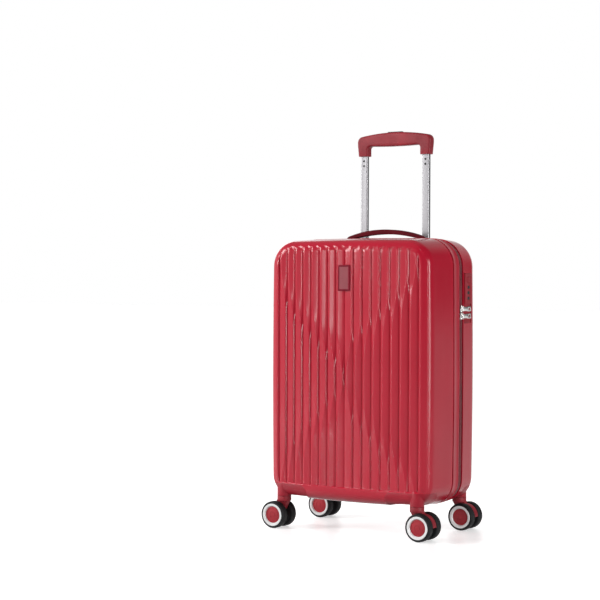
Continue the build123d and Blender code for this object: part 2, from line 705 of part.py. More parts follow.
# ---------------------------------------------------------------- combination lock
POCKET_X = 172.8          # floor of the pocket that holds the zipper pulls
POCKET_TOP = 420.0
DIAL = 5.0
DIAL_BORE = 1.5
BUTTON_Z = 464.0
BUTTON_SIZE = (9.2, 10.0, 10.0)
BUTTON_BACK_X = 165.6
BUTTON_STICKS_OUT = 0.6
BUTTON_ROOM_X = 162.5
PART_PLAY = 0.3           # around the lock's button
DIAL_PLAY = 0.4
SHAFT_END = 4.0           # the dial shaft runs this far into the body
DIAL_SIDES = 20
POCKET_BACK = 60.6
lock_body = block(LOCK_X, LOCK_SIDES, LOCK_Z)
pull_pocket = block((POCKET_X, FAR), (0, POCKET_BACK), (0, POCKET_TOP))
dial_rooms = [
    upright_cylinder(
        DIAL_X, LOCK_Y, z - DIAL / 2 - DIAL_PLAY, z + DIAL / 2 + DIAL_PLAY, DIAL_R + DIAL_PLAY
    )
    for z in DIAL_Z
]
button_half = BUTTON_SIZE[1] / 2 + PART_PLAY
button_room = block(
    (BUTTON_ROOM_X, FAR),
    (LOCK_Y - button_half, LOCK_Y + button_half),
    (BUTTON_Z - button_half, BUTTON_Z + button_half),
)
dial_shaft = upright_cylinder(
    DIAL_X, LOCK_Y, DIAL_Z[0] - SHAFT_END, DIAL_Z[2] + SHAFT_END, DIAL_BORE
)
with BuildPart() as lock_housing:
    add(lock_body)
    fillet(lock_housing.edges().filter_by(Axis.X), 3)
    fillet(lock_housing.faces().sort_by(Axis.X)[-1].edges(), 1.2)
    add(pull_pocket, mode=Mode.SUBTRACT)
    add(dial_rooms, mode=Mode.SUBTRACT)
    add(button_room, mode=Mode.SUBTRACT)
    add(dial_shaft)
save(lock_housing.part, "lock_housing")

for number, z in enumerate(DIAL_Z, 1):
    with BuildPart() as dial:
        with BuildSketch(Plane.XY.offset(z - DIAL / 2)):
            with Locations((DIAL_X, LOCK_Y)):
                RegularPolygon(DIAL_R, DIAL_SIDES)
                Circle(DIAL_BORE + RUNNING, mode=Mode.SUBTRACT)
        extrude(amount=DIAL)
    save(dial.part, f"dial_{number}")

with BuildPart() as lock_button:
    with BuildSketch(Plane.YZ.offset(BUTTON_BACK_X)):
        with Locations((LOCK_Y, BUTTON_Z)):
            RectangleRounded(BUTTON_SIZE[1], BUTTON_SIZE[2], 1.5)
    extrude(amount=BUTTON_SIZE[0] + BUTTON_STICKS_OUT)
    fillet(lock_button.faces().sort_by(Axis.X)[-1].edges(), 0.8)
save(lock_button.part, "lock_button")

# ---------------------------------------------------------------- zipper sliders and pulls
SLIDER = (9.4, 12.0)      # across and along the zipper
SLIDER_X = (171.05, 172.7)
PIVOT = (173.9, 28.2)     # pin that carries the pull
PIN_R = 0.6
PIN_HALF = 5.6
LUG = (2.6, 1.7, 2.4)     # the two lugs that hold the pin
LUG_Z = 4.75              # above and below the middle of the slider
LUG_ROOT = 0.2
LUG_SHIFT = 0.3
BARREL_R = 0.95
BARREL_HALF = 3.7
PULL_X = (173.2, 174.6)
PULL_WIDTH = 7.4
PULL_END_Y = 59.5
TAB = (16.0, 9.0)         # wider end of the pull
TAB_HOLE = (6.0, 4.0)
for name, direction in (("upper", 1), ("lower", -1)):
    z = TAB_GAP_Z + direction * (SLIDER[1] / 2 + PIN_R)
    pin = upright_cylinder(*PIVOT, z - PIN_HALF, z + PIN_HALF, PIN_R)
    with BuildPart() as slider:
        with BuildSketch(Plane.YZ.offset(SLIDER_X[0])):
            with Locations((ZIP_Y, z)):
                RectangleRounded(*SLIDER, 2.5)
        extrude(amount=SLIDER_X[1] - SLIDER_X[0])
        with BuildSketch(Plane.YZ.offset(SLIDER_X[1] - LUG_ROOT)):
            lug_y = PIVOT[1] - LUG_SHIFT
            with Locations((lug_y, z - LUG_Z), (lug_y, z + LUG_Z)):
                Rectangle(LUG[0], LUG[1])
        extrude(amount=LUG[2])
        add(pin)
    save(slider.part, f"slider_{name}")

    barrel = upright_cylinder(*PIVOT, z - BARREL_HALF, z + BARREL_HALF, BARREL_R)
    barrel_bore = upright_cylinder(*PIVOT, z - PIN_HALF, z + PIN_HALF, PIN_R + RUNNING)
    with BuildPart() as pull:
        with BuildSketch(Plane.YZ.offset(PULL_X[0])):
            with Locations(((PIVOT[1] + PULL_END_Y) / 2, z)):
                Rectangle(PULL_END_Y - PIVOT[1], PULL_WIDTH)
            with Locations((PULL_END_Y - TAB[0] / 2, z)):
                RectangleRounded(*TAB, 2)
            with Locations((PULL_END_Y - TAB_HOLE[0], z)):
                RectangleRounded(*TAB_HOLE, 1, mode=Mode.SUBTRACT)
        extrude(amount=PULL_X[1] - PULL_X[0])
        add(barrel)
        add(barrel_bore, mode=Mode.SUBTRACT)
    save(pull.part, f"pull_{name}")

# ---------------------------------------------------------------- casters
FORK_HALF = 6.0           # half thickness of the fork between the wheels
FORK_R = 23.4             # its fender follows the tyres
DISC_Z = (50.8, 59.6)     # swivel disc on top of the fork
STEM_Z = (54.0, 79.0)
AXLE_HALF = WHEEL_GAP / 2 + 11.0   # the axle ends inside the wheels
TYRE_IN = 20.0
TYRE_EDGE_R = 2.4
FLANGE = 0.6              # the rim's ring stands this proud of the tyre
FLANGE_R = 22.0
CAP_R = 15.6              # recessed hub cap inside the ring
CAP_SINK = 2.6
CAP_THICK = 1.6
RIM_BACK = 0.3            # the rim starts this far behind the tyre's inner side
PRESSED = 0.01            # play of a pin that is pressed into the fork
BOSS_R = 5.5              # spacer on the axle, between fork and wheel
BOSS_GAP = 0.1
HUB_R = 7.0               # of the fork, round the axle
FENDER_CUT_X = (-30.0, -7.0, -24.0)    # the fender is open behind this slanting line
FORK_LEG_X = (-23.5, 0.5, 6.0, -6.5)   # corners of the slanting leg, outboard of the axle
FORK_LEG_LOW = -2.0
FORK_LEG_ROOT = 1.0       # the leg reaches this far into the disc


def make_wheel(centre, outward, name):
    """One wheel: a tyre and its rim. Outward is the side of the visible face."""
    axis = Axis(centre, (0, 1, 0))
    start = outward * WHEEL_GAP / 2
    plane = Plane(origin=centre, x_dir=(1, 0, 0), z_dir=(0, 0, 1))
    face = start + outward * WHEEL_WIDTH
    with BuildPart() as tyre:
        with BuildSketch(plane) as tyre_section:
            with Locations(((TYRE_IN + WHEEL_R) / 2, (start + face) / 2)):
                Rectangle(WHEEL_R - TYRE_IN, WHEEL_WIDTH)
            fillet(tyre_section.vertices().group_by(Axis.X)[-1], TYRE_EDGE_R)
        revolve(axis=axis)
    save(tyre.part, f"tyre_{name}")
    flange = face + outward * FLANGE
    cap_face = flange - outward * CAP_SINK
    cap_back = cap_face - outward * CAP_THICK
    bore_r = AXLE_R + RUNNING
    seat_r = TYRE_IN - PRESSED
    back = start + outward * RIM_BACK
    with BuildPart() as rim:
        with BuildSketch(plane):
            with BuildLine():
                Polyline(
                    (bore_r, back), (seat_r, back), (seat_r, face), (FLANGE_R, face),
                    (FLANGE_R, flange), (CAP_R, flange), (CAP_R, cap_face), (0, cap_face),
                    (0, cap_back), (bore_r, cap_back),
                    close=True,
                )
            make_face()
        revolve(axis=axis)
    save(rim.part, f"rim_{name}")


def make_caster(side_x, side_y, name):
    """Swivel fork, its steel pins and two wheels. The wheels trail outboard."""
    stem = (side_x * STEM_X, side_y * STEM_Y)
    axle_x = side_x * (STEM_X + TRAIL)
    centre = (axle_x, stem[1], WHEEL_R)
    upright = Plane(origin=(axle_x, stem[1] + FORK_HALF, WHEEL_R), x_dir=(1, 0, 0), z_dir=(0, -1, 0))
    leg_top = DISC_Z[0] - WHEEL_R
    with BuildPart() as fork:
        with BuildSketch(upright):
            Circle(FORK_R)
            with Locations((0, -FORK_R / 2)):
                Rectangle(2 * FORK_R, FORK_R, mode=Mode.SUBTRACT)
            with BuildLine():
                end, low, high = [side_x * x for x in FENDER_CUT_X]
                Polyline((end, 0), (low, 0), (high, leg_top), (end, leg_top), close=True)
            make_face(mode=Mode.SUBTRACT)
            Circle(HUB_R)
            with BuildLine():
                root = leg_top + FORK_LEG_ROOT
                top_in, top_out, low_out, low_in = [side_x * x for x in FORK_LEG_X]
                Polyline(
                    (top_in, root), (top_out, root), (low_out, 0), (low_in, FORK_LEG_LOW), close=True
                )
            make_face()
        extrude(amount=2 * FORK_HALF)
        with BuildSketch(Plane.XY.offset(DISC_Z[0])):
            with Locations(stem):
                Circle(COLLAR_R)
        extrude(amount=DISC_Z[1] - DISC_Z[0])
        with BuildSketch(Plane(origin=centre, x_dir=(1, 0, 0), z_dir=(0, -1, 0))):
            Circle(BOSS_R)
        extrude(amount=WHEEL_GAP / 2 - BOSS_GAP, both=True)
        with BuildSketch(Plane(origin=centre, x_dir=(1, 0, 0), z_dir=(0, -1, 0))):
            Circle(AXLE_R + PRESSED)
        extrude(amount=FAR, both=True, mode=Mode.SUBTRACT)
        with BuildSketch(Plane.XY.offset(STEM_Z[0])):
            with Locations(stem):
                Circle(STEM_R + PRESSED)
        extrude(amount=FAR, mode=Mode.SUBTRACT)
    save(fork.part, f"fork_{name}")

    with BuildPart() as axle:
        with BuildSketch(Plane(origin=centre, x_dir=(1, 0, 0), z_dir=(0, -1, 0))):
            Circle(AXLE_R)
        extrude(amount=AXLE_HALF, both=True)
    with BuildPart() as stem_pin:
        with BuildSketch(Plane.XY.offset(STEM_Z[0])):
            with Locations(stem):
                Circle(STEM_R)
        extrude(amount=STEM_Z[1] - STEM_Z[0])
    save_group([axle.part, stem_pin.part], f"pins_{name}")

    for outward, place in ((-1, "a"), (1, "b")):
        make_wheel(centre, outward, f"{name}_{place}")


for side_y, end in ((-1, "front"), (1, "rear")):
    for side_x, hand in ((-1, "left"), (1, "right")):
        make_caster(side_x, side_y, f"{end}_{hand}")
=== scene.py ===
import json
import math
import random

import bmesh
import bpy
import numpy as np
from mathutils import Matrix, Vector
from mathutils.geometry import delaunay_2d_cdt


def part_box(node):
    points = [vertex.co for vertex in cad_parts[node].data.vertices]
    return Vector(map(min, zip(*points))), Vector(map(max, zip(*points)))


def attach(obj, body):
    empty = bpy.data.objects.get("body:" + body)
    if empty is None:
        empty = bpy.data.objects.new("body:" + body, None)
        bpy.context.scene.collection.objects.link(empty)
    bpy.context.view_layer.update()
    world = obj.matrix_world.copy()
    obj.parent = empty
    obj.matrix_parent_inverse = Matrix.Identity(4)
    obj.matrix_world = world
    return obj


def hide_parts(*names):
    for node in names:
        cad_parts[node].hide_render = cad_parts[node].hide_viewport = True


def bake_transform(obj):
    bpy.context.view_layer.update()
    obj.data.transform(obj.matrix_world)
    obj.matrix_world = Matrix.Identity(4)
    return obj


# Looks of the hard shell suitcase. Metres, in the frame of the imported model: X to the
# right, Y to the back, Z up.

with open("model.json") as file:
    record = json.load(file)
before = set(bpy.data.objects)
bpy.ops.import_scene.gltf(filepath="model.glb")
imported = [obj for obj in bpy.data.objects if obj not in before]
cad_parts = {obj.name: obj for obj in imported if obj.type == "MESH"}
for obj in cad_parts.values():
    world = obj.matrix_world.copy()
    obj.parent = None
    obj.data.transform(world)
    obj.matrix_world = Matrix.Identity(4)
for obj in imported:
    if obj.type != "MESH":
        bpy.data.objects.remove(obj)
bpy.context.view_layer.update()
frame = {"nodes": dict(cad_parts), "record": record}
nodes = frame["nodes"]
random.seed(7)
MM = 0.001
CORNERS = [f"{end}_{hand}" for end in ("front", "rear") for hand in ("left", "right")]


def span(node, axis):
    """Lowest and highest value of a CAD node along one axis, in millimetres."""
    low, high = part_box(node)
    return low[axis] / MM, high[axis] / MM


def box_mm(node):
    """Lowest and highest corner of a CAD node, in millimetres."""
    return [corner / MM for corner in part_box(node)]


# -------- sizes, from the frame
BAND_X = span("expansion_band", 0)
BAND_Z = span("expansion_band", 2)
BAND_Y = span("expansion_band", 1)
LIP = 0.6  # the band's raised edges stand out this far
HALF_W = (BAND_X[1] - BAND_X[0]) / 2 - LIP
CASE_TOP = BAND_Z[1] - LIP
CASE_BOTTOM = BAND_Z[0] + LIP
CASE_MID_Z = (CASE_TOP + CASE_BOTTOM) / 2
FRONT_FACE_Y, FRONT_RIM_Y = span("front_shell", 1)
REAR_RIM_Y, REAR_FACE_Y = span("rear_shell", 1)
CROWN = 2.4  # bow of each long side of the outline
TOP_CORNER_R = 52.0
BOTTOM_CORNER_R = 44.0
DRAFT = math.radians(3)
FRONT_BOW_R = 1126.0
FRONT_EDGE_R = 22.0
REAR_EDGE_R = 26.0
WALL, FACE_WALL = 2.5, 1.2  # at the rim, and over the face
RECESS_X, RECESS_Y, RECESS_TOP = 82.0, 46.0, 84.0  # inner corner of each wheel recess
RECESS_R = 15.0
FAR = 300.0  # past the case in X and Y, and below it
RIB_PITCH = 18.3
RIBS = 16
RIB_EDGE = RIBS / 2 * RIB_PITCH


# -------- outline of the case
ARC_STEP = 0.25  # between the points that an arc is first drawn with


def meet(centre_a, radius_a, centre_b, radius_b, near):
    """Where two circles cross, at the crossing nearer to a point."""
    a, b = np.array(centre_a), np.array(centre_b)
    gap = np.linalg.norm(b - a)
    along = (gap**2 + radius_a**2 - radius_b**2) / (2 * gap)
    across = math.sqrt(max(radius_a**2 - along**2, 0))
    direction = (b - a) / gap
    normal = np.array([-direction[1], direction[0]])
    spots = [a + along * direction + s * across * normal for s in (-1, 1)]
    return min(spots, key=lambda p: np.linalg.norm(p - np.array(near)))


def along_loop(values, places, want):
    """Pairs of values round a closed loop, read between its points at the wanted places."""
    closed = np.vstack([values, values[:1]])
    return np.stack([np.interp(want, places, closed[:, i]) for i in (0, 1)], 1)


def case_outline(count):
    """Evenly spaced points of the outline (x, z), their outward normals and its length."""
    half_h = (CASE_TOP - CASE_BOTTOM) / 2
    side_r = (half_h**2 + CROWN**2) / (2 * CROWN)
    level_r = (HALF_W**2 + CROWN**2) / (2 * CROWN)
    discs = {
        "right": ((HALF_W - side_r, CASE_MID_Z), side_r),
        "top": ((0, CASE_TOP - level_r), level_r),
        "left": ((side_r - HALF_W, CASE_MID_Z), side_r),
        "bottom": ((0, CASE_BOTTOM + level_r), level_r),
    }
    corners = [
        ("right", "top", TOP_CORNER_R), ("top", "left", TOP_CORNER_R),
        ("left", "bottom", BOTTOM_CORNER_R), ("bottom", "right", BOTTOM_CORNER_R),
    ]
    centres = []
    for first, second, r in corners:
        near = (
            HALF_W * (1 if "right" in (first, second) else -1),
            CASE_TOP if "top" in (first, second) else CASE_BOTTOM,
        )
        (c1, r1), (c2, r2) = discs[first], discs[second]
        centres.append(meet(c1, r1 - r, c2, r2 - r, near))
    points, normals = [], []

    def arc(centre, radius, start, end):
        steps = max(8, int(abs(end - start) * radius / ARC_STEP))
        turn = np.linspace(start, end, steps, endpoint=False)
        n = np.stack([np.cos(turn), np.sin(turn)], 1)
        points.append(np.array(centre) + radius * n)
        normals.append(n)

    def bearing(centre, point):
        return math.atan2(point[1] - centre[1], point[0] - centre[0])

    for i, (first, second, r) in enumerate(corners):
        disc_c, disc_r = discs[first]
        start, end = bearing(disc_c, centres[i - 1]), bearing(disc_c, centres[i])
        end += 2 * math.pi if end < start else 0
        arc(disc_c, disc_r, start, end)
        start, end = end, bearing(discs[second][0], centres[i])
        while end < start:
            end += 2 * math.pi
        arc(centres[i], r, start, end)
    p, n = np.concatenate(points), np.concatenate(normals)
    step = np.linalg.norm(np.roll(p, -1, 0) - p, axis=1)
    length = np.concatenate([[0], np.cumsum(step)])
    want = np.linspace(0, length[-1], count, endpoint=False)
    even_p, even_n = along_loop(p, length, want), along_loop(n, length, want)
    return even_p, even_n / np.linalg.norm(even_n, axis=1)[:, None], length[-1]


OUTLINE_COUNT, FINE_COUNT = 720, 3600
OUTLINE, OUTLINE_N, OUTLINE_LENGTH = case_outline(OUTLINE_COUNT)
FINE_OUTLINE, FINE_NORMAL, _ = case_outline(FINE_COUNT)
BATCH = 2000  # points measured at once, to save memory


def outline_inset(xz):
    """How far points (x, z) lie inside the outline, and the outward normal there."""
    distance = np.zeros(len(xz))
    normal = np.zeros((len(xz), 2))
    for start in range(0, len(xz), BATCH):
        part = xz[start:start + BATCH]
        gap = ((part[:, None, :] - FINE_OUTLINE[None]) ** 2).sum(2)
        nearest = gap.argmin(1)
        normal[start:start + BATCH] = FINE_NORMAL[nearest]
        distance[start:start + BATCH] = ((FINE_OUTLINE[nearest] - part) * FINE_NORMAL[nearest]).sum(1)
    return distance, normal


# -------- making pieces
def shown(name, data):
    """Object of the scene that shows this data."""
    obj = bpy.data.objects.new(name, data)
    bpy.context.scene.collection.objects.link(obj)
    return obj


def new_piece(name, verts_mm, faces, sharp_deg=38):
    """Mesh object from millimetre points. Edges sharper than the angle stay sharp."""
    mesh = bpy.data.meshes.new(name)
    mesh.from_pydata((np.asarray(verts_mm, float) * MM).tolist(), [], faces)
    mesh.validate()
    obj = shown(name, mesh)
    tidy_normals(obj, sharp_deg)
    return obj


def tidy_normals(obj, sharp_deg=38):
    """Turns all faces outward and shades them smooth between sharp edges."""
    mesh = bmesh.new()
    mesh.from_mesh(obj.data)
    bmesh.ops.recalc_face_normals(mesh, faces=mesh.faces)
    mesh.to_mesh(obj.data)
    mesh.free()
    obj.data.shade_smooth()
    obj.data.set_sharp_from_angle(angle=math.radians(sharp_deg))


def apply_modifiers(obj):
    """Makes the piece's modifiers part of its mesh."""
    result = obj.evaluated_get(bpy.context.evaluated_depsgraph_get())
    mesh = bpy.data.meshes.new_from_object(result)
    obj.modifiers.clear()
    old, obj.data = obj.data, mesh
    bpy.data.meshes.remove(old)


def cut(obj, cutters):
    """Takes the cutters away from the piece."""
    for cutter in cutters:
        modifier = obj.modifiers.new("cut", "BOOLEAN")
        modifier.operation = "DIFFERENCE"
        modifier.solver = "EXACT"
        modifier.object = cutter
    apply_modifiers(obj)
    for cutter in cutters:
        bpy.data.objects.remove(cutter)


def finish_piece(obj, body, slot, *stands_for, look=None):
    """Gives a piece its body and its look, which is the slot's look unless one is given, and hides the CAD
    nodes that it stands for.
    """
    obj.data.materials.clear()
    obj.data.materials.append(look or looks[slot])
    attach(obj, body)
    if stands_for:
        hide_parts(*stands_for)
    return obj


def ring_faces(first, second, count):
    """Quads between two closed rings of points that start at these indices."""
    ahead = [(i + 1) % count for i in range(count)]
    return [(first + i, first + ahead[i], second + ahead[i], second + i) for i in range(count)]


def grid_border(rows, columns):
    """Indices of the points round the border of a grid."""
    last = (rows - 1) * columns
    border = list(range(columns)) + [r * columns + columns - 1 for r in range(1, rows)]
    border += [last + c for c in range(columns - 2, -1, -1)]
    return border + [r * columns for r in range(rows - 2, 0, -1)]


def box_mesh(name, low, high):
    """Closed block between two corners, in millimetres."""
    xs, ys, zs = zip(low, high)
    corners = [(x, y, z) for x in xs for y in ys for z in zs]
    faces = [(0, 1, 3, 2), (4, 6, 7, 5), (0, 4, 5, 1), (2, 3, 7, 6), (0, 2, 6, 4), (1, 5, 7, 3)]
    return new_piece(name, corners, faces)


def recess_cutter(side_x, side_y):
    """Block that cuts one wheel recess, with its rounded inner edges."""
    x = sorted((side_x * RECESS_X, side_x * FAR))
    y = sorted((side_y * RECESS_Y, side_y * FAR))
    obj = box_mesh("recess_cutter", (x[0], y[0], -FAR), (x[1], y[1], RECESS_TOP))
    mesh = bmesh.new()
    mesh.from_mesh(obj.data)
    inboard, midward, roof = side_x * RECESS_X * MM, side_y * RECESS_Y * MM, RECESS_TOP * MM

    def on(edge, axis, value):
        return all(abs(v.co[axis] - value) < 1e-6 for v in edge.verts)

    chosen = [
        e for e in mesh.edges
        if (on(e, 0, inboard) + on(e, 1, midward) + on(e, 2, roof)) == 2
    ]
    bmesh.ops.bevel(
        mesh, geom=chosen, offset=RECESS_R * MM, segments=10, profile=0.5,
        affect="EDGES", clamp_overlap=True,
    )
    mesh.to_mesh(obj.data)
    mesh.free()
    return obj


# -------- shape of the ribs
WAIST_Z = 295.0
BEND_HALF = 46.0  # half the height of the bend that each crest makes
# distance of the bends from the waist, above it and below it: start + slope * x + a steep flare
BEND_START, BEND_SLOPE, BEND_FLARE = (27.0, 42.0), (0.86, 1.05), (25.0, 10.0)
BEND_REACH = 150
CREST_OUT, CREST_IN = 0.86, 0.14  # across a rib of the right half, outside the waist and in it
CREST_SOFT = 0.08
RIB_RISE = 2.6  # crest above the foot of a rib
GROOVE_DEPTH, GROOVE_HALF = 0.7, 1.0
RIB_BOTTOM_Z = 85.0
SCALLOP = 5.0  # the middle of a rib runs this much nearer to the case's edge than its sides
FADE, FOOT_FADE = 6.0, 2.2  # the ribs run out over these lengths at the edge and at the foot
BACK_SHARE = 0.42  # the rear ribs are shallower, since the trolley tubes lie right behind them
SIDE_COLUMNS = (1.8, 3.5, 6.0)  # mesh columns beyond the outermost grooves
GROOVE_COLUMN = 2.0  # from a groove to the first column on the slope of a crest


def smooth_step(value):
    t = np.clip(value, 0, 1)
    return t * t * (3 - 2 * t)


def bend_height(x, upper):
    """Height above or below the waist where the crest at x changes sides."""
    start, slope, flare = (np.where(upper, *pair) for pair in (BEND_START, BEND_SLOPE, BEND_FLARE))
    return start + slope * x + flare * (x / BEND_REACH) ** 6


def crest_share(rib_x, z, waisted):
    """Place of the crest across its rib, 0 at the left groove and 1 at the right one."""
    inside = np.zeros_like(z)
    if waisted:
        reach = bend_height(np.abs(rib_x), z > WAIST_Z) - np.abs(z - WAIST_Z)
        inside = smooth_step(reach / (2 * BEND_HALF) + 0.5)
    share = CREST_OUT + (CREST_IN - CREST_OUT) * inside
    return np.where(rib_x > 0, share, 1 - share)


def rib_depth(x, z, inset, waisted, fade_inset):
    """How far the surface lies below the smooth face."""
    number = np.clip(np.floor((x + RIB_EDGE) / RIB_PITCH), 0, RIBS - 1)
    rib_x = -RIB_EDGE + (number + 0.5) * RIB_PITCH
    across = (x - rib_x) / RIB_PITCH + 0.5
    crest = crest_share(rib_x, z, waisted)
    left, right = across / crest, (1 - across) / (1 - crest)
    height = RIB_RISE * np.clip((left + right - np.sqrt((left - right) ** 2 + CREST_SOFT**2)) / 2, 0, 1)
    to_groove = np.minimum(across, 1 - across) * RIB_PITCH
    groove = GROOVE_DEPTH * np.exp(-((to_groove / GROOVE_HALF) ** 2))
    beyond = np.abs(x) - RIB_EDGE
    outside = np.where(beyond > 0, np.exp(-((np.maximum(beyond, 0) / (2 * GROOVE_HALF)) ** 2)), 1)
    depth = np.where(beyond > 0, (GROOVE_DEPTH + RIB_RISE) * outside, RIB_RISE - height + groove)
    scallop = fade_inset + SCALLOP * (2 * across - 1) ** 2
    fade = smooth_step((inset - scallop) / FADE) * smooth_step((z - RIB_BOTTOM_Z) / FOOT_FADE)
    return depth * fade * (1 if waisted else BACK_SHARE)


def rib_columns(z, waisted):
    """Places of the mesh columns across all ribs at height z."""
    columns = [-RIB_EDGE - beyond for beyond in reversed(SIDE_COLUMNS)]
    for number in range(RIBS):
        rib_x = -RIB_EDGE + (number + 0.5) * RIB_PITCH
        crest = float(crest_share(np.array(rib_x), np.array(z), waisted))
        low, high = GROOVE_COLUMN / RIB_PITCH, 1 - GROOVE_COLUMN / RIB_PITCH
        shares = [0, low * 0.5]
        shares += list(np.linspace(low, crest, 5)[:-1])
        shares += [crest]
        shares += list(np.linspace(crest, high, 5)[1:])
        shares += [1 - low * 0.5]
        columns += [rib_x + (s - 0.5) * RIB_PITCH for s in shares]
    return np.array(columns + [RIB_EDGE] + [RIB_EDGE + beyond for beyond in SIDE_COLUMNS])


# -------- shape of a shell
RING_INSET = 10.0  # the rings of the rounded edge end this far inside the outline
WALL_ROWS, EDGE_ROWS = 12, 9
BLOCK_BOTTOM_Z, BLOCK_TOP_Z = 80.0, 486.0  # of the ribbed block of quads
ROW_STEP, TOP_STEP = 2.6, 1.5  # between rows of the block, and of points above it
LOW_BOTTOM_Z, LOW_TOP_Z, LOW_X, LOW_STEP = 66.0, 79.0, 158.0, 4.0  # points below the block
SIDE_X, SIDE_TOP_Z, SIDE_STEP = (154.6, 157.4), 500.0, 3.0  # points beside the block
FREE_GAP = 0.9  # points nearer than this to the rings are left out
THINNING = 1.4  # how fast the wall thins from the rim


def shell_skin(name, side, rim_y, face_y, bow_r, edge_r, waisted, rib_top_inset):
    """Closed mesh of one shell. Side is -1 for the front half and 1 for the rear half."""
    tangent = edge_r / math.tan(math.radians(45) + DRAFT / 2)

    def crest_depth(x):
        bow = bow_r - np.sqrt(bow_r**2 - x**2) if bow_r else 0 * x
        return abs(face_y) - bow

    def drafted(x):
        return (crest_depth(x) - side * rim_y) * math.tan(DRAFT)

    def surface(xz, inset, normal):
        """Point and outward normal of the smooth face at a front-view point."""
        x = xz[:, 0]
        lean = np.clip((drafted(x) + tangent - inset) / edge_r, 0, 1)
        turn = np.arcsin(lean)
        depth = crest_depth(x) - edge_r * (1 - np.cos(turn))
        base = np.stack([x, side * depth, xz[:, 1]], 1)
        out = np.stack([normal[:, 0] * lean, side * np.cos(turn), normal[:, 1] * lean], 1)
        return base, out

    def ribbed(xz):
        inset, normal = outline_inset(xz)
        base, out = surface(xz, inset, normal)
        depth = rib_depth(xz[:, 0], xz[:, 1], inset, waisted, rib_top_inset)
        return base - out * depth[:, None], out

    points, outs, faces = [], [], []
    # side wall and the outer part of the rounded edge, ring by ring
    ring_x = OUTLINE[:, 0] - OUTLINE_N[:, 0] * (tangent + 5)
    wall_end = math.radians(90) - DRAFT
    ring_turn = np.arcsin((drafted(ring_x) + tangent - RING_INSET) / edge_r)
    wall_depth = crest_depth(ring_x) - edge_r * (1 - math.cos(wall_end))
    rows = []
    for share in np.linspace(0, 1, WALL_ROWS + 1)[:-1]:
        depth = side * rim_y + share * (wall_depth - side * rim_y)
        rows.append(((depth - side * rim_y) * math.tan(DRAFT), depth, math.sin(wall_end) + 0 * depth))
    for share in np.linspace(0, 1, EDGE_ROWS):
        turn = wall_end + share * (ring_turn - wall_end)
        inset = drafted(ring_x) + tangent - edge_r * np.sin(turn)
        rows.append((inset, crest_depth(ring_x) - edge_r * (1 - np.cos(turn)), np.sin(turn)))
    for inset, depth, lean in rows:
        xz = OUTLINE - OUTLINE_N * np.asarray(inset)[:, None]
        points.append(np.stack([xz[:, 0], side * depth, xz[:, 1]], 1))
        outward = side * np.sqrt(1 - lean**2)
        outs.append(np.stack([OUTLINE_N[:, 0] * lean, outward, OUTLINE_N[:, 1] * lean], 1))
    count = OUTLINE_COUNT
    for row in range(len(rows) - 1):
        faces += ring_faces(row * count, (row + 1) * count, count)
    ring_start = (len(rows) - 1) * count
    ring_xz = OUTLINE - OUTLINE_N * np.asarray(rows[-1][0])[:, None]

    # ribbed block of quads over the flat part of the face
    block_start = len(rows) * count
    heights = np.concatenate([
        np.linspace(BLOCK_BOTTOM_Z, RIB_BOTTOM_Z, 4), np.linspace(RIB_BOTTOM_Z + 0.7, RIB_BOTTOM_Z + 2.8, 4),
        np.arange(RIB_BOTTOM_Z + 5.0, BLOCK_TOP_Z, ROW_STEP),
    ])
    block = np.array([[(x, z) for x in rib_columns(z, waisted)] for z in heights])
    n_rows, n_columns = block.shape[:2]
    block_points = block.reshape(-1, 2)
    surface_points, surface_outs = ribbed(block_points)
    points.append(surface_points)
    outs.append(surface_outs)
    for r in range(n_rows - 1):
        a = block_start + r * n_columns
        faces += [(a + c, a + c + 1, a + c + 1 + n_columns, a + c + n_columns) for c in range(n_columns - 1)]

    # free points between the block and the rounded edge, joined by triangles
    top_heights = np.arange(heights[-1] + 2.2, CASE_TOP - RING_INSET, TOP_STEP)
    free = np.array([(x, z) for z in top_heights for x in rib_columns(z, waisted)])
    low_x = np.arange(-LOW_X, LOW_X + 0.1, LOW_STEP)
    low_rows = [(x, z) for z in np.arange(LOW_BOTTOM_Z, LOW_TOP_Z, ROW_STEP) for x in low_x]
    side_z = np.arange(BLOCK_BOTTOM_Z, SIDE_TOP_Z, SIDE_STEP)
    side_rows = [(s * x, z) for s in (-1, 1) for x in SIDE_X for z in side_z]
    free = np.vstack([free, low_rows, side_rows])
    inset, _ = outline_inset(free)
    free = free[inset > RING_INSET + FREE_GAP]
    free_start = block_start + n_rows * n_columns
    free_points, free_outs = ribbed(free)
    points.append(free_points)
    outs.append(free_outs)

    border = grid_border(n_rows, n_columns)
    ids = [ring_start + i for i in range(count)] + [block_start + i for i in border]
    ids += [free_start + i for i in range(len(free))]
    plane = [Vector(p) for spots in (ring_xz, block_points[border], free) for p in spots]
    loops = [(i, (i + 1) % count) for i in range(count)]
    loops += [(count + i, count + (i + 1) % len(border)) for i in range(len(border))]
    out_verts, _, triangles, origin, _, _ = delaunay_2d_cdt(plane, loops, [], 0, 1e-5)
    x_limit, z_low, z_high = block[0, -1, 0] - 0.01, heights[0], heights[-1]
    for triangle in triangles:
        middle = sum((Vector(out_verts[i]) for i in triangle), Vector((0, 0))) / 3
        if abs(middle.x) < x_limit and z_low < middle.y < z_high:
            continue
        faces.append(tuple(ids[origin[i][0]] for i in triangle))

    outer, normal = np.concatenate(points), np.concatenate(outs)
    total = len(outer)
    rim_share = np.clip((side * outer[:, 1] - side * rim_y) / (abs(face_y) - side * rim_y), 0, 1)
    wall = WALL + (FACE_WALL - WALL) * smooth_step(rim_share * THINNING)
    inner = outer - normal * wall[:, None]
    inner[:count, 1] = outer[:count, 1]
    faces += [tuple(total + i for i in reversed(face)) for face in faces]
    faces += [(i, total + i, total + (i + 1) % count, (i + 1) % count) for i in range(count)]
    return new_piece(name, np.vstack([outer, inner]), faces, sharp_deg=50)


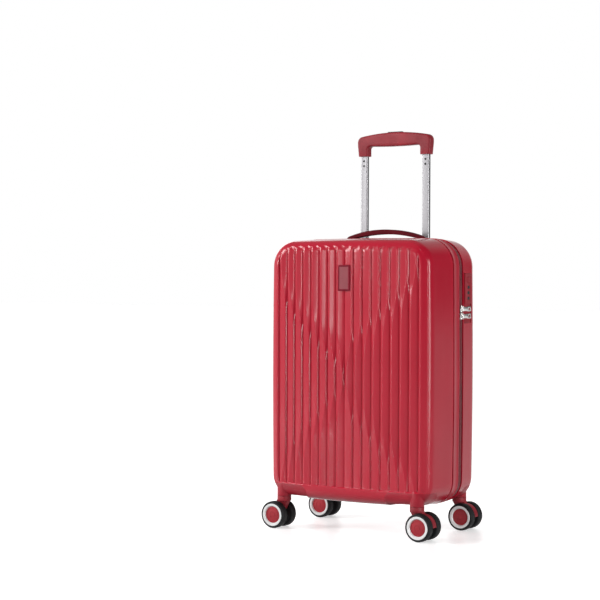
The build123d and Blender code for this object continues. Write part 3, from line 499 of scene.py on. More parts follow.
# -------- materials
def material(name, colour, roughness, metallic=0.0, coat=0.0, sheen=0.0, specular=0.5):
    """Principled material whose plain values sit on the shader itself."""
    made = bpy.data.materials.new(name)
    made.use_nodes = True
    shader = made.node_tree.nodes["Principled BSDF"]
    values = {
        "Base Color": (*colour, 1), "Roughness": roughness, "Metallic": metallic, "Coat Weight": coat,
        "Coat Roughness": 0.1, "Sheen Weight": sheen, "Specular IOR Level": specular,
    }
    for key, value in values.items():
        shader.inputs[key].default_value = value
    return made


class Nodes:
    """Short way to add and join the nodes of one material or world."""

    def __init__(self, made, shader="Principled BSDF", colour="Base Color", space="Object"):
        self.tree = made.node_tree
        self.shader = self.tree.nodes[shader]
        self.base = self.shader.inputs[colour]
        self.place = self.add("ShaderNodeTexCoord").outputs[space]

    def add(self, kind, **settings):
        node = self.tree.nodes.new(kind)
        for key, value in settings.items():
            if key.startswith("in_"):
                node.inputs[key[3:].replace("_", " ")].default_value = value
            else:
                setattr(node, key, value)
        return node

    def link(self, source, target):
        self.tree.links.new(source, target)

    def stretched(self, scale):
        mapping = self.add("ShaderNodeMapping", in_Scale=scale)
        self.link(self.place, mapping.inputs["Vector"])
        return mapping.outputs["Vector"]

    def noise(self, scale, detail=3.0, stretch=(1, 1, 1)):
        node = self.add("ShaderNodeTexNoise", in_Scale=scale, in_Detail=detail)
        self.link(self.stretched(stretch), node.inputs["Vector"])
        return node.outputs["Fac"]

    def band(self, value, low, high, out_low, out_high):
        node = self.add("ShaderNodeMapRange")
        for key, number in zip(("From Min", "From Max", "To Min", "To Max"), (low, high, out_low, out_high)):
            node.inputs[key].default_value = number
        self.link(value, node.inputs["Value"])
        return node.outputs["Result"]

    def math(self, operation, first, second):
        node = self.add("ShaderNodeMath", operation=operation)
        for socket, value in zip(node.inputs, (first, second)):
            if isinstance(value, (int, float)):
                socket.default_value = value
            else:
                self.link(value, socket)
        return node.outputs[0]

    def colour(self, value, stops):
        ramp = self.add("ShaderNodeValToRGB")
        elements = ramp.color_ramp.elements
        while len(elements) < len(stops):
            elements.new(0.5)
        for element, (place, colour) in zip(elements, stops):
            element.position, element.color = place, (*colour, 1)
        self.link(value, ramp.inputs["Fac"])
        self.link(ramp.outputs["Color"], self.base)

    def rough(self, value, low, high):
        self.link(self.band(value, 0.3, 0.7, low, high), self.shader.inputs["Roughness"])

    def bump(self, value, height_mm, strength=1.0):
        node = self.add("ShaderNodeBump", in_Strength=strength, in_Distance=height_mm * MM)
        self.link(value, node.inputs["Height"])
        self.link(node.outputs["Normal"], self.shader.inputs["Normal"])

    def convexity(self):
        """High on sharp outer edges, low in hollows."""
        return self.add("ShaderNodeNewGeometry").outputs["Pointiness"]


def shade(colour, factor):
    return tuple(min(1.0, c * factor) for c in colour)


def gloss_shell(name, colour, roughness=0.15):
    made = material(name, colour, roughness, specular=0.3)
    n = Nodes(made)
    cloud, fine = n.noise(9, 4), n.noise(1400, 2)
    scuff = n.noise(60, 8, (1, 1, 0.12))
    # painted shade: pointiness darkens the colour in the grooves and hollows and lightens it on sharp
    # crests; the cloud noise is tone that varies at random
    painted_groove_shade = n.math("MULTIPLY", n.math("SUBTRACT", n.convexity(), 0.5), 3.0)
    mixed = n.math("ADD", n.math("MULTIPLY", cloud, 0.5), n.math("ADD", painted_groove_shade, 0.25))
    n.colour(mixed, [
        (0.2, shade(colour, 0.85)), (0.42, shade(colour, 0.94)), (0.52, colour), (0.72, shade(colour, 1.12)),
    ])
    n.rough(scuff, roughness - 0.04, roughness + 0.08)
    n.bump(n.math("ADD", fine, n.math("MULTIPLY", cloud, 4.0)), 0.012)
    return made


def grained_plastic(name, colour, roughness=0.52, grain=900.0, depth=0.05, specular=0.3):
    made = material(name, colour, roughness, specular=specular)
    n = Nodes(made)
    cells = n.add("ShaderNodeTexVoronoi", feature="SMOOTH_F1", in_Scale=grain, in_Smoothness=0.6)
    n.link(n.place, cells.inputs["Vector"])
    # tone that varies at random, a little lighter on sharp edges and darker in hollows
    mottled = n.math("ADD", n.noise(30, 5), n.math("MULTIPLY", n.convexity(), 0.3))
    n.colour(mottled, [(0.45, shade(colour, 0.82)), (0.62, colour), (0.85, shade(colour, 1.25))])
    n.rough(n.noise(70, 4), roughness - 0.06, roughness + 0.08)
    n.bump(cells.outputs["Distance"], depth)
    return made


def brushed_metal(name, colour, roughness, stretch, scale=90.0):
    made = material(name, colour, roughness, metallic=1.0)
    n = Nodes(made)
    streak = n.noise(scale, 6, stretch)
    n.colour(streak, [(0.3, shade(colour, 0.86)), (0.5, colour), (0.72, shade(colour, 1.1))])
    n.rough(streak, roughness - 0.07, roughness + 0.09)
    n.bump(streak, 0.01)
    return made


def woven_cloth(name, colour, pitch_mm, depth=0.12, roughness=0.85, sheen=0.3):
    """Plain weave: two sets of ribs that pass over and under each other."""
    made = material(name, colour, roughness, sheen=sheen)
    n = Nodes(made)
    turns = 2 * math.pi / (pitch_mm * MM)
    parts = n.add("ShaderNodeSeparateXYZ")
    n.link(n.place, parts.inputs[0])
    across = n.math("ADD", parts.outputs["X"], parts.outputs["Y"])
    warp = n.math("SINE", n.math("MULTIPLY", across, turns), 0.0)
    weft = n.math("SINE", n.math("MULTIPLY", parts.outputs["Z"], turns), 0.0)
    weave = n.math("MULTIPLY", warp, weft)
    mixed = n.math("ADD", n.math("MULTIPLY", weave, 0.14), n.noise(45, 5))
    n.colour(mixed, [(0.3, shade(colour, 0.6)), (0.5, colour), (0.72, shade(colour, 1.5))])
    n.rough(n.noise(300, 3), roughness - 0.08, roughness + 0.08)
    n.bump(weave, depth)
    return made


def rubber(name, colour):
    made = material(name, colour, 0.6, specular=0.25)
    n = Nodes(made)
    n.colour(n.noise(55, 6), [(0.3, shade(colour, 0.6)), (0.5, colour), (0.75, shade(colour, 2.2))])
    n.rough(n.noise(120, 4), 0.5, 0.72)
    n.bump(n.noise(1500, 3), 0.04)
    return made


def moulded_gloss(name, colour, roughness=0.25):
    made = material(name, colour, roughness, coat=0.2)
    n = Nodes(made)
    n.colour(n.noise(40, 5), [(0.3, shade(colour, 0.88)), (0.5, colour), (0.7, shade(colour, 1.06))])
    n.rough(n.noise(90, 5), roughness - 0.06, roughness + 0.1)
    n.bump(n.noise(1100, 2), 0.015)
    return made


SHELL_RED = (0.46, 0.010, 0.030)
BAND_RED = (0.46, 0.022, 0.042)
GRIP_RED = (0.26, 0.016, 0.026)
HOUSING_RED = (0.32, 0.010, 0.024)
looks = {
    "shell": gloss_shell("shell_gloss_red", SHELL_RED),
    "band": gloss_shell("band_satin_red", BAND_RED, 0.3),
    "matte_red": grained_plastic("grained_red", GRIP_RED),
    "dark_plastic": grained_plastic("grained_black", (0.02, 0.02, 0.022), 0.45, 1100.0, 0.03),
    "tube": brushed_metal("tube_aluminium", (0.27, 0.264, 0.274), 0.36, (1, 1, 0.015)),
    "steel": brushed_metal("zinc_steel", (0.55, 0.55, 0.56), 0.35, (1, 1, 0.2)),
    "zip_metal": brushed_metal("satin_nickel", (0.78, 0.76, 0.75), 0.24, (1, 0.1, 1), 160.0),
    "zip_tape": woven_cloth("zip_tape_red", (0.17, 0.010, 0.018), 0.7),
    "lining": woven_cloth("lining_grey", (0.045, 0.046, 0.052), 0.9, 0.08, 0.8, 0.5),
    "webbing": woven_cloth("webbing_black", (0.022, 0.022, 0.026), 1.6, 0.3),
    "tyre": rubber("tyre_black", (0.006, 0.006, 0.007)),
    "rim": moulded_gloss("rim_white", (0.80, 0.80, 0.80)),
}
cap_red = grained_plastic("hub_cap_red", (0.36, 0.026, 0.036), 0.42, 620.0, 0.12, 0.2)
handle_red = grained_plastic("grained_handle_red", (0.10, 0.007, 0.012), 0.65, 900.0, 0.05, 0.04)
plate_red = moulded_gloss("badge_plate_red", (0.24, 0.010, 0.024), 0.35)
housing_red = grained_plastic("grained_housing_red", HOUSING_RED, 0.4, 800.0, 0.04)
badge_dark = brushed_metal("badge_dark_red", (0.12, 0.010, 0.018), 0.4, (1, 1, 0.1))
hub_black = grained_plastic("hub_black", (0.012, 0.012, 0.013), 0.5)
coil_red = moulded_gloss("zip_coil_red", (0.20, 0.012, 0.02), 0.35)
slot_of = {s["node"]: s["material_slot"] for s in frame["record"]["subparts"]}
body_of = {n: b for b, members in frame["record"]["behaviour"]["bodies"].items() for n in members}
for node_name, node in nodes.items():
    node.data.materials.clear()
    node.data.materials.append(looks[slot_of[node_name]])


# -------- moulded parts with rounded edges
def refined(node_name, width, look):
    """Copy of a CAD node with its hard edges rounded, which stands for it."""
    copy = shown(node_name + "_detail", nodes[node_name].data.copy())
    mesh = bmesh.new()
    mesh.from_mesh(copy.data)
    bmesh.ops.remove_doubles(mesh, verts=mesh.verts, dist=0.004 * MM)
    bmesh.ops.dissolve_limit(
        mesh, angle_limit=math.radians(0.6), verts=mesh.verts, edges=mesh.edges, delimit={"NORMAL"}
    )
    mesh.to_mesh(copy.data)
    mesh.free()
    bevel = copy.modifiers.new("bevel", "BEVEL")
    bevel.width, bevel.segments = width * MM, 2
    bevel.limit_method, bevel.angle_limit = "ANGLE", math.radians(32)
    bevel.use_clamp_overlap = True
    bevel.harden_normals = False
    bevel.miter_outer = "MITER_ARC"
    apply_modifiers(copy)
    tidy_normals(copy, 40)
    return finish_piece(copy, body_of[node_name], slot_of[node_name], node_name, look=look)


# width of the rounding on each CAD node that is shown with its own shape
ROUNDED = {
    "trolley_grip": 0.5, "trolley_bezel": 0.6, "carry_handle": 0.8, "handle_mounts": 0.4,
    "lock_housing": 0.35,
    "lock_button": 0.25, "dial_1": 0.3, "dial_2": 0.3, "dial_3": 0.3, "badge": 0.3, "release_button": 0.3,
    "front_wheel_housings": 0.7, "rear_wheel_housings": 0.7, "slider_upper": 0.3, "slider_lower": 0.3,
    "pull_upper": 0.25, "pull_lower": 0.25, "strap_buckle": 0.6, "tube_foot": 0.8, "expansion_band": 0.25,
}
ROUNDED.update({f"fork_{corner}": 0.9 for corner in CORNERS})
ROUNDED.update({"front_housing_screws": 0.2, "rear_housing_screws": 0.2})
own_look = {
    "badge": badge_dark, "carry_handle": handle_red,
    "front_wheel_housings": housing_red, "rear_wheel_housings": housing_red,
}
for node_name, width in ROUNDED.items():
    refined(node_name, width, own_look.get(node_name))

badge_low, badge_high = box_mm("badge")
PLATE_EDGE, PLATE_BACK, PLATE_FACE = 3.3, 0.75, 0.2  # inside the badge's border, and behind its front
plate = box_mesh(
    "badge_plate",
    (badge_low.x + PLATE_EDGE, badge_low.y + PLATE_FACE, badge_low.z + PLATE_EDGE),
    (badge_high.x - PLATE_EDGE, badge_low.y + PLATE_BACK, badge_high.z - PLATE_EDGE),
)
finish_piece(plate, "front", "band", look=plate_red)


# -------- the two shells
front_skin = shell_skin(
    "front_shell_skin", -1, FRONT_RIM_Y, FRONT_FACE_Y, FRONT_BOW_R, FRONT_EDGE_R, True, 12.0
)
cut(front_skin, [recess_cutter(-1, -1), recess_cutter(1, -1)])
tidy_normals(front_skin, 50)
finish_piece(front_skin, "front", "shell", "front_shell")

rear_skin = shell_skin(
    "rear_shell_skin", 1, REAR_RIM_Y, REAR_FACE_Y, None, REAR_EDGE_R, False, 14.0
)
lock_low, lock_high = box_mm("lock_housing")
bezel_low, bezel_high = box_mm("trolley_bezel")
PLAY = 0.1
LOCK_CUT_X = 150  # the lock's opening starts inside the case here
ABOVE_Z = 600  # past the case's top
LEG_X = 74  # middle of each leg of the carry handle
LEG_CUT_HALF, LEG_CUT_Y, LEG_CUT_Z = 2.5, (43.4, 56.6), 500
openings = [
    box_mesh(
        "cut_lock", (LOCK_CUT_X, lock_low.y - PLAY, lock_low.z - PLAY),
        (FAR, lock_high.y + PLAY, lock_high.z + PLAY),
    ),
    box_mesh(
        "cut_bezel", (bezel_low.x - PLAY, bezel_low.y - PLAY, bezel_low.z - PLAY),
        (bezel_high.x + PLAY, FAR, ABOVE_Z),
    ),
]
for side in (-1, 1):
    openings.append(box_mesh(
        "cut_leg", (side * LEG_X - LEG_CUT_HALF, LEG_CUT_Y[0], LEG_CUT_Z),
        (side * LEG_X + LEG_CUT_HALF, LEG_CUT_Y[1], ABOVE_Z),
    ))
cut(rear_skin, [recess_cutter(-1, 1), recess_cutter(1, 1)] + openings)
tidy_normals(rear_skin, 50)
finish_piece(rear_skin, "rear", "shell", "rear_shell")


# -------- wheels
LATHE_STEPS = 96


def lathe(name, centre, profile):
    """Closed body of revolution about Y. The profile is (radius, y) around its section."""
    verts, faces = [], []
    count = len(profile)
    for s in range(LATHE_STEPS):
        turn = 2 * math.pi * s / LATHE_STEPS
        for radius, y in profile:
            verts.append((
                centre[0] + radius * math.cos(turn), centre[1] + y, centre[2] + radius * math.sin(turn)
            ))
    for s in range(LATHE_STEPS):
        faces += ring_faces(s * count, (s + 1) % LATHE_STEPS * count, count)
    return new_piece(name, verts, faces, sharp_deg=34)


def arc_points(centre, radius, start_deg, end_deg, steps):
    """Points of an arc, from one angle to the other."""
    turns = np.radians(np.linspace(start_deg, end_deg, steps))
    return [(centre[0] + radius * math.cos(t), centre[1] + radius * math.sin(t)) for t in turns]


def wheel_pieces(name, body):
    """Tyre with two tread grooves, white ring, grained hub cap and inner web of one wheel."""
    low, high = box_mm("tyre_" + name)
    rim_low, rim_high = box_mm("rim_" + name)
    side = 1 if rim_high.y > high.y else -1
    centre = ((low.x + high.x) / 2, (low.y + high.y) / 2, (low.z + high.z) / 2)
    half, r = (high.y - low.y) / 2, (high.x - low.x) / 2
    out = abs((rim_high.y if side > 0 else rim_low.y) - centre[1])
    # sections as (radius, y from the middle of the tyre), with the outer face of the wheel towards +y
    tyre = [(20.0, -half + 0.3), (20.6, -half), (r - 3.4, -half)]
    tyre += arc_points((r - 3.0, -half + 3.0), 3.0, -90, 0, 8)
    tyre += arc_points((r - 3.0, half - 3.0), 3.0, 0, 90, 8)
    tyre += [(r - 3.6, half), (r - 4.0, half - 0.5), (20.9, half - 0.3), (20.0, half - 0.7)]
    for spot in (-2.6, 2.6):
        middle = next(i for i, p in enumerate(tyre) if p[0] > r - 0.05 and p[1] > spot)
        groove = [(r, spot - 0.5), (r - 0.5, spot - 0.25), (r - 0.5, spot + 0.25), (r, spot + 0.5)]
        tyre[middle:middle] = groove
    ring = [(19.9, 0), (19.9, half - 0.6), (20.5, half - 0.4), (20.7, half + 0.1)]
    ring += [(20.5, out - 0.3), (20.1, out)]
    ring += [(16.8, out - 0.2), (16.3, out - 0.6), (15.7, out - 2.4), (15.2, out - 3.0), (15.2, 0)]
    cap = [(0.4, out - 3.4), (15.1, out - 3.4), (15.1, out - 2.9), (14.2, out - 2.4), (12.6, out - 2.2)]
    cap += [(12.2, out - 2.6), (11.4, out - 2.6), (11.0, out - 2.2), (6.0, out - 1.7), (5.6, out - 2.1)]
    cap += [(4.8, out - 2.1), (4.4, out - 1.6), (0.4, out - 1.4)]
    web = [(5.0, -half + 0.6), (8.0, -half + 0.4), (8.6, -half + 1.6), (13.5, -half + 2.2)]
    web += [(14.4, -half + 0.8), (19.8, -half + 0.4), (19.8, -0.2), (15.0, -0.2)]
    web += [(15.0, out - 3.6), (5.0, out - 4.2)]
    for kind, profile, slot, look in (
        ("tyre", tyre, "tyre", looks["tyre"]), ("ring", ring, "rim", looks["rim"]),
        ("cap", cap, "rim", cap_red), ("web", web, "dark_plastic", hub_black),
    ):
        placed = [(radius, side * y) for radius, y in profile]
        piece = lathe(f"{kind}_piece_{name}", centre, placed)
        stands_for = {"tyre": ["tyre_" + name], "ring": ["rim_" + name]}.get(kind, [])
        finish_piece(piece, body, slot, *stands_for, look=look)


for corner in CORNERS:
    for place in "ab":
        wheel_pieces(f"{corner}_{place}", f"wheel_{corner}_{place}")


# -------- zippers
RIPPLES = 90  # waves of a rippled strip, once round the case


def ring_strip(name, inset_out, inset_in, y_from, y_to, steps=4, ripple=0.0):
    """Closed cloth strip along the outline, between two insets and two depths."""
    count = OUTLINE_COUNT
    ys = np.linspace(y_from, y_to, steps)
    wave = ripple * np.sin(np.arange(count) * 2 * math.pi * RIPPLES / count)
    rings = []
    for inset, order in ((inset_out, ys), (inset_in, ys[::-1])):
        for y in order:
            xz = OUTLINE - OUTLINE_N * (inset + wave)[:, None]
            rings.append(np.stack([xz[:, 0], np.full(count, y), xz[:, 1]], 1))
    faces = []
    for r in range(len(rings)):
        faces += ring_faces(r * count, (r + 1) % len(rings) * count, count)
    return new_piece(name, np.concatenate(rings), faces, sharp_deg=60)


def coil_row(name, y_meet, reach, inset, pitch, phase, thick=1.5):
    """One row of zipper teeth along the outline, as rounded loops side by side."""
    count = int(OUTLINE_LENGTH / pitch)
    want = (np.arange(count) + phase) / count * OUTLINE_COUNT
    index = np.arange(OUTLINE_COUNT + 1)
    spots, normals = along_loop(OUTLINE, index, want), along_loop(OUTLINE_N, index, want)
    section = [(math.cos(t), math.sin(t)) for t in np.radians(np.arange(0, 360, 60))]
    stations = [(0.0, 0.35), (0.25, 0.9), (0.75, 1.0), (1.0, 0.9), (1.12, 0.4)]
    verts, faces = [], []
    for spot, normal in zip(spots, normals):
        along = np.array([-normal[1], normal[0]])
        first = len(verts)
        for share, size in stations:
            for a, b in section:
                xz = spot - normal * (inset - b * thick / 2 * size) + along * a * pitch * 0.34 * size
                verts.append((xz[0], y_meet + reach * (1 - share), xz[1]))
        sides = len(section)
        for s in range(len(stations) - 1):
            faces += ring_faces(first + s * sides, first + (s + 1) * sides, sides)
        faces += [tuple(range(first, first + sides))]
        faces += [tuple(range(first + (len(stations) - 1) * sides, first + len(stations) * sides))]
    return new_piece(name, verts, faces, sharp_deg=60)


ZIP_Y = (span("main_zip_front", 1)[1] + span("main_zip_rear", 1)[0]) / 2
TAPE_OUT, TAPE_IN = 3.0, 3.8  # insets of a tape's two faces
TAPE_GAP = 0.6  # from the middle of the zipper to each tape
TOOTH_PITCH, TOOTH_INSET, TOOTH_REACH, TOOTH_GAP = 2.1, 2.4, 2.2, 0.25
EXPANSION_REACH, EXPANSION_INSET, EXPANSION_GAP, EXPANSION_THICK = 1.3, 1.6, 0.2, 1.1
front_tape = ring_strip("main_tape_front", TAPE_OUT, TAPE_IN, span("main_zip_front", 1)[0], ZIP_Y - TAPE_GAP)
finish_piece(front_tape, "band", "zip_tape", "main_zip_front")
rear_tape = ring_strip("main_tape_rear", TAPE_OUT, TAPE_IN, ZIP_Y + TAPE_GAP, span("main_zip_rear", 1)[1])
finish_piece(rear_tape, "rear", "zip_tape", "main_zip_rear")
front_teeth = coil_row("main_teeth_front", ZIP_Y - TOOTH_GAP, -TOOTH_REACH, TOOTH_INSET, TOOTH_PITCH, 0.0)
finish_piece(front_teeth, "band", "zip_tape", look=coil_red)
rear_teeth = coil_row("main_teeth_rear", ZIP_Y + TOOTH_GAP, TOOTH_REACH, TOOTH_INSET, TOOTH_PITCH, 0.5)
finish_piece(rear_teeth, "rear", "zip_tape", look=coil_red)
EXPANSION_Y = (FRONT_RIM_Y + BAND_Y[0]) / 2
for sign, body in ((-1, "front"), (1, "band")):
    teeth = coil_row(
        f"expansion_teeth_{body}", EXPANSION_Y + sign * EXPANSION_GAP, sign * EXPANSION_REACH,
        EXPANSION_INSET, TOOTH_PITCH, 0.25 * sign, EXPANSION_THICK,
    )
    finish_piece(teeth, body, "zip_tape", look=coil_red)

GUSSET_OUT, GUSSET_IN, GUSSET_RIPPLE = 2.95, 3.6, 0.25
gusset = ring_strip("gusset_cloth", GUSSET_OUT, GUSSET_IN, *span("gusset", 1), 14, GUSSET_RIPPLE)
gusset.data.materials.append(looks["zip_tape"])
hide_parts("gusset")
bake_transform(gusset)

HINGE_OUT, HINGE_IN = 0.9, 1.6  # insets of the hinge's two faces


def cloth_strip():
    """Cloth hinge on the left side, between the band and the rear shell."""
    low_z, high_z = span("hinge_strip", 2)
    chosen = [i for i in range(OUTLINE_COUNT) if OUTLINE[i, 0] < 0 and low_z < OUTLINE[i, 1] < high_z]
    ys = np.linspace(*span("hinge_strip", 1), 17)
    verts, faces = [], []
    rows = [(y, HINGE_OUT) for y in ys] + [(y, HINGE_IN) for y in ys[::-1]]
    for y, inset in rows:
        for i in chosen:
            x, z = OUTLINE[i] - OUTLINE_N[i] * inset
            verts.append((x, y, z))
    count = len(chosen)
    for r in range(len(rows)):
        a, b = r * count, (r + 1) % len(rows) * count
        faces += [(a + i, a + i + 1, b + i + 1, b + i) for i in range(count - 1)]
    half = len(ys)
    for end in (0, count - 1):
        for r in range(half - 1):
            faces.append(tuple(k * count + end for k in (r, r + 1, 2 * half - 2 - r, 2 * half - 1 - r)))
    return new_piece("hinge_cloth", verts, faces, sharp_deg=60)


hinge = cloth_strip()
hinge.data.materials.append(looks["zip_tape"])
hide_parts("hinge_strip")
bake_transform(hinge)


# -------- linings and straps
def fold_pattern(points, size, seed):
    """Smooth uneven folds between 0 and 1, the same each run."""
    draw = random.Random(seed)
    total = np.zeros(len(points))
    for _ in range(9):
        direction = np.array([draw.uniform(-1, 1), draw.uniform(-0.6, 0.6), draw.uniform(-1, 1)])
        length = size * draw.uniform(0.6, 1.7)
        wave = points @ (direction / np.linalg.norm(direction)) * 2 * math.pi / length
        total += np.sin(wave + draw.uniform(0, 6))
    return np.clip(0.5 + total / 9, 0, 1) ** 2


def push_out(points, boxes):
    """Moves points out of boxes, each to its nearest side. None is a side without end."""
    moved = points.copy()
    for box in boxes:
        depth = np.full((len(moved), 6), np.inf)
        inside = np.ones(len(moved), bool)
        for axis, (low, high) in enumerate(box):
            if low is not None:
                depth[:, 2 * axis] = moved[:, axis] - low
                inside &= moved[:, axis] > low
            if high is not None:
                depth[:, 2 * axis + 1] = high - moved[:, axis]
                inside &= moved[:, axis] < high
        side = depth.argmin(1)
        for axis, (low, high) in enumerate(box):
            moved[inside & (side == 2 * axis), axis] = low if low is not None else 0
            moved[inside & (side == 2 * axis + 1), axis] = high if high is not None else 0
    return moved


LINING_STEP = 3  # every third outline point
LINING_THICK = 0.8
LINING_INSET = 4.8  # at the rim, inside the outline
FOLD_SIZE, FOLD_HEIGHT = 70, 2.6
FOLD_ROOM = 0.3  # the folds start this far off whatever stands inside
SMOOTHINGS = 6
HOUSING_ROOM = 6.0


def lining_cloth(name, side, rim_y, face_y, edge_r, boxes, seed):
    """Cloth skin of one half: it hangs from the rim and folds over whatever stands inside."""
    line, normal = OUTLINE[::LINING_STEP], OUTLINE_N[::LINING_STEP]
    count = len(line)
    middle = np.array([0.0, CASE_MID_Z])
    rows = [(LINING_INSET, y) for y in np.linspace(rim_y, face_y - side * edge_r, 15)]
    for turn in np.radians(np.linspace(12, 90, 7)):
        y = face_y - side * edge_r * (1 - math.sin(turn))
        rows.append((LINING_INSET + edge_r * (1 - math.cos(turn)), y))
    points = []
    for row_inset, y in rows:
        taper = abs(y - rim_y) * math.tan(DRAFT)
        xz = line - normal * (row_inset + taper)
        points.append(np.stack([xz[:, 0], np.full(count, y), xz[:, 1]], 1))
    last = points[-1]
    for share in np.linspace(1, 0.02, 34)[1:]:
        xz = middle + (last[:, [0, 2]] - middle) * share
        points.append(np.stack([xz[:, 0], np.full(count, face_y), xz[:, 1]], 1))
    points = np.array(points)
    n_rows = len(points)
    flat = points.reshape(-1, 3)
    centre = np.array([0, rim_y, CASE_MID_Z])
    inward = centre - flat
    inward[:, 1] = -side * 60
    inward /= np.linalg.norm(inward, axis=1)[:, None]
    from_rim = np.clip(np.repeat(np.arange(n_rows), count) / 6, 0, 1)
    flat = flat + inward * (fold_pattern(flat, FOLD_SIZE, seed) * FOLD_HEIGHT * from_rim)[:, None]
    grown = [
        [(None if a is None else a - FOLD_ROOM, None if b is None else b + FOLD_ROOM) for a, b in box]
        for box in boxes
    ]
    flat = push_out(flat, grown)
    smooth = flat.reshape(n_rows, count, 3)
    for _ in range(SMOOTHINGS):
        blurred = smooth.copy()
        blurred[1:-1] = (
            smooth[2:] + smooth[:-2] + np.roll(smooth, 1, 1)[1:-1] + np.roll(smooth, -1, 1)[1:-1]
        ) / 4
        smooth = push_out(blurred.reshape(-1, 3), boxes).reshape(n_rows, count, 3)
    faces = []
    for r in range(n_rows - 1):
        faces += ring_faces(r * count, (r + 1) * count, count)
    faces.append(tuple((n_rows - 1) * count + i for i in range(count)))
    piece = new_piece(name, smooth.reshape(-1, 3), faces, 70)
    cloth = piece.modifiers.new("cloth", "SOLIDIFY")
    cloth.thickness, cloth.offset = LINING_THICK * MM, 0
    apply_modifiers(piece)
    tidy_normals(piece, 70)
    return piece


def recess_boxes(side_y):
    """Room for the two wheel housings of one half."""
    boxes = []
    for side_x in (-1, 1):
        x = (RECESS_X - HOUSING_ROOM, None) if side_x > 0 else (None, HOUSING_ROOM - RECESS_X)
        y = (RECESS_Y - HOUSING_ROOM, None) if side_y > 0 else (None, HOUSING_ROOM - RECESS_Y)
        boxes.append([x, y, (None, RECESS_TOP + HOUSING_ROOM)])
    return boxes


FACE_BOW, FACE_ROOM = 9, 5.2  # the front lining lies behind the bow of its shell's face and this room
front_lining_y = span("front_lining", 1)
front_cloth = lining_cloth(
    "front_lining_cloth", -1, front_lining_y[1], FRONT_FACE_Y + FACE_BOW + FACE_ROOM, 18.0,
    recess_boxes(-1), 3,
)
finish_piece(front_cloth, "front", "lining", "front_lining")

rear_lining_y = span("rear_lining", 1)
LEG_ROOM, LEG_ROOM_Y, LEG_ROOM_Z = 8.0, (41, 59), 509
# room for the nest of the grip, the lock, and the legs of the carry handle
rear_boxes = recess_boxes(1) + [
    [(bezel_low.x - 3, bezel_high.x + 3), (bezel_low.y - 3, None), (bezel_low.z - 4, None)],
    [(lock_low.x - 4, None), (None, lock_high.y + 4), (lock_low.z - 5, lock_high.z + 5)],
]
for side in (-1, 1):
    middle_x = side * LEG_X
    rear_boxes.append([(middle_x - LEG_ROOM, middle_x + LEG_ROOM), LEG_ROOM_Y, (LEG_ROOM_Z, None)])
rear_cloth = lining_cloth(
    "rear_lining_cloth", 1, rear_lining_y[0], rear_lining_y[1] - 0.6, 10.0, rear_boxes, 5
)
finish_piece(rear_cloth, "rear", "lining", "rear_lining")


STRAP_WIDTH = 25.0
STRAP_RUN_X, STRAP_RUN_Z = 160.0, 60.0  # a strap runs out by the first and up or down by the second
STRAP_START = 19.0  # from the middle of the buckle
STRAP_INSET = 5.6  # where it ends, inside the outline


def strap_piece(name, side_x, side_z):
    """Webbing strap from the buckle to the lining, with a little slack."""
    low, high = box_mm("packing_straps")
    thick = high.y - low.y
    slope = math.atan2(STRAP_RUN_Z, STRAP_RUN_X)
    along = np.array([side_x * math.cos(slope), side_z * math.sin(slope)])
    across = np.array([-along[1], along[0]])
    columns = np.linspace(-STRAP_WIDTH / 2, STRAP_WIDTH / 2, 9)
    shares = np.linspace(0, 1, 60)
    tops = []
    for column in columns:
        reach = np.linspace(60, 230, 341)
        spots = np.array([0, CASE_MID_Z]) + reach[:, None] * along + column * across
        inset, _ = outline_inset(spots)
        tops.append(reach[np.argmin(np.abs(inset - STRAP_INSET))])
    verts, faces = [], []
    for face in (0, 1):
        for share in shares:
            for column, reach in zip(columns, tops):
                run = STRAP_START + share * (reach - STRAP_START)
                x, z = np.array([0, CASE_MID_Z]) + run * along + column * across
                sag = 1.1 * math.sin(math.pi * share) + 0.25 * math.sin(share * 21 + side_x)
                edge = 0.25 if abs(column) > STRAP_WIDTH / 2 - 0.1 else 0
                y = low.y + 0.1 + sag * 0.6 + (edge if face == 0 else thick - 0.1 - edge)
                verts.append((x, y, z))
    n, m = len(columns), len(shares)
    for r in range(m - 1):
        for c in range(n - 1):
            a = r * n + c
            faces.append((a, a + 1, a + n + 1, a + n))
            b = a + n * m
            faces.append((b, b + n, b + n + 1, b + 1))
    border = grid_border(m, n)
    for i, a in enumerate(border):
        b = border[(i + 1) % len(border)]
        faces.append((a, b, b + n * m, a + n * m))
    return new_piece(name, verts, faces, 50)


for side_x in (-1, 1):
    for side_z in (-1, 1):
        name = f"strap_{'left' if side_x < 0 else 'right'}_{'low' if side_z < 0 else 'high'}"
        strap = strap_piece(name, side_x, side_z)
        stands_for = ["packing_straps"] if (side_x, side_z) == (-1, -1) else []
        finish_piece(strap, "rear", "webbing", *stands_for)


# -------- camera, light and floor
camera_data = bpy.data.cameras.new("camera")
camera = shown("camera", camera_data)
bpy.context.scene.camera = camera
camera_data.sensor_width = 36.0
camera_data.lens = 99.45
camera_data.clip_start, camera_data.clip_end = 0.05, 60
CAMERA_PLACE = (1.53839, -2.68117, 0.46499)
YAW, PITCH, ROLL = math.radians(32.349), math.radians(-0.741), math.radians(0.181)
camera.matrix_world = (
    Matrix.Translation(CAMERA_PLACE)
    @ Matrix.Rotation(YAW, 4, "Z")
    @ Matrix.Rotation(math.radians(90) + PITCH, 4, "X")
    @ Matrix.Rotation(ROLL, 4, "Z")
)


def area_light(name, place, aim, size, power):
    """White rectangular light, turned towards a point."""
    data = bpy.data.lights.new(name, "AREA")
    data.shape = "RECTANGLE"
    data.size, data.size_y = size
    data.energy = power
    light = shown(name, data)
    light.location = place
    light.rotation_mode = "QUATERNION"
    light.rotation_quaternion = (Vector(aim) - Vector(place)).to_track_quat("-Z", "Y")


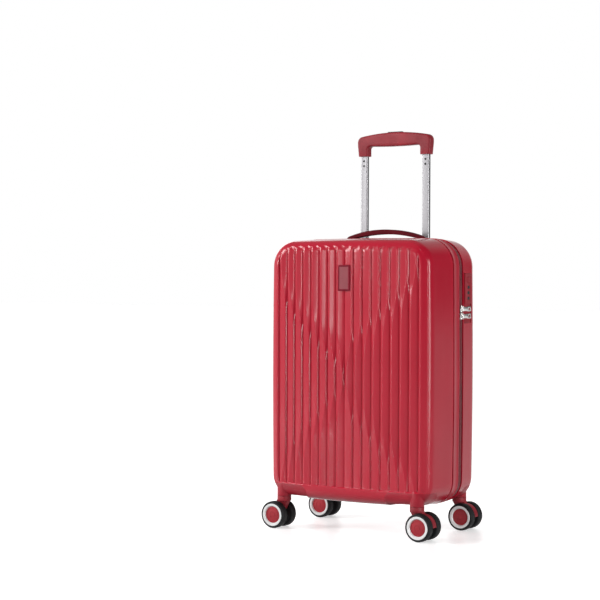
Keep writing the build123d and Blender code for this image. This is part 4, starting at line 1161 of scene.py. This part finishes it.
area_light("key", (-2.6, -1.9, 1.5), (0, 0, 0.35), (0.9, 1.8), 87)
area_light("strip", (-0.9, -3.2, 0.4), (0, 0, 0.3), (0.05, 2.2), 18)
area_light("edge", (2.6, -1.5, 0.8), (0, 0, 0.3), (0.2, 1.6), 28)
area_light("side", (3.0, -0.3, 0.7), (0, 0, 0.35), (0.5, 1.8), 42)
area_light("back", (-2.2, 2.0, 1.6), (0, 0, 0.35), (1.0, 1.6), 12)

FLOOR, FLOOR_Z = 20000, -0.1
floor_corners = [(x * FLOOR, y * FLOOR, FLOOR_Z) for x, y in ((-1, -1), (1, -1), (1, 1), (-1, 1))]
floor = new_piece("floor", floor_corners, [(0, 1, 2, 3)])
floor_look = material("floor_white", (0.9, 0.9, 0.9), 0.3)
floor_shader = floor_look.node_tree.nodes["Principled BSDF"]
floor_shader.inputs["Emission Color"].default_value = (1, 1, 1, 1)
floor_shader.inputs["Emission Strength"].default_value = 0.5
floor_nodes = Nodes(floor_look)
floor_nodes.colour(floor_nodes.noise(3, 2), [(0.0, (0.89, 0.89, 0.89)), (1.0, (0.92, 0.92, 0.92))])
floor.data.materials.append(floor_look)
floor.visible_diffuse = False

# a white horizon all round, dimmer above and below it, as in a white cove
world = bpy.data.worlds.new("studio")
bpy.context.scene.world = world
world.use_nodes = True
sky = Nodes(world, "Background", "Color", "Generated")
parts = sky.add("ShaderNodeSeparateXYZ")
sky.link(sky.place, parts.inputs[0])
height = sky.math("ADD", sky.math("MULTIPLY", parts.outputs["Z"], 0.5), 0.5)
# height 0 looks straight down and 1 straight up
STOPS = [(0.45, 0.34), (0.485, 1.0), (0.61, 1.0), (0.75, 0.42)]
sky.colour(height, [(place, (value, value, value)) for place, value in STOPS])
# a dark flag on the right, which the right side of the case mirrors; rays straight from the camera
# don't see it, so it doesn't darken the background
flag = sky.band(parts.outputs["X"], 0.05, 0.35, 1.0, 0.12)
straight = sky.add("ShaderNodeLightPath").outputs["Is Camera Ray"]
sky.link(sky.math("MAXIMUM", straight, flag), sky.shader.inputs["Strength"])
bpy.context.scene.view_settings.view_transform = "Standard"
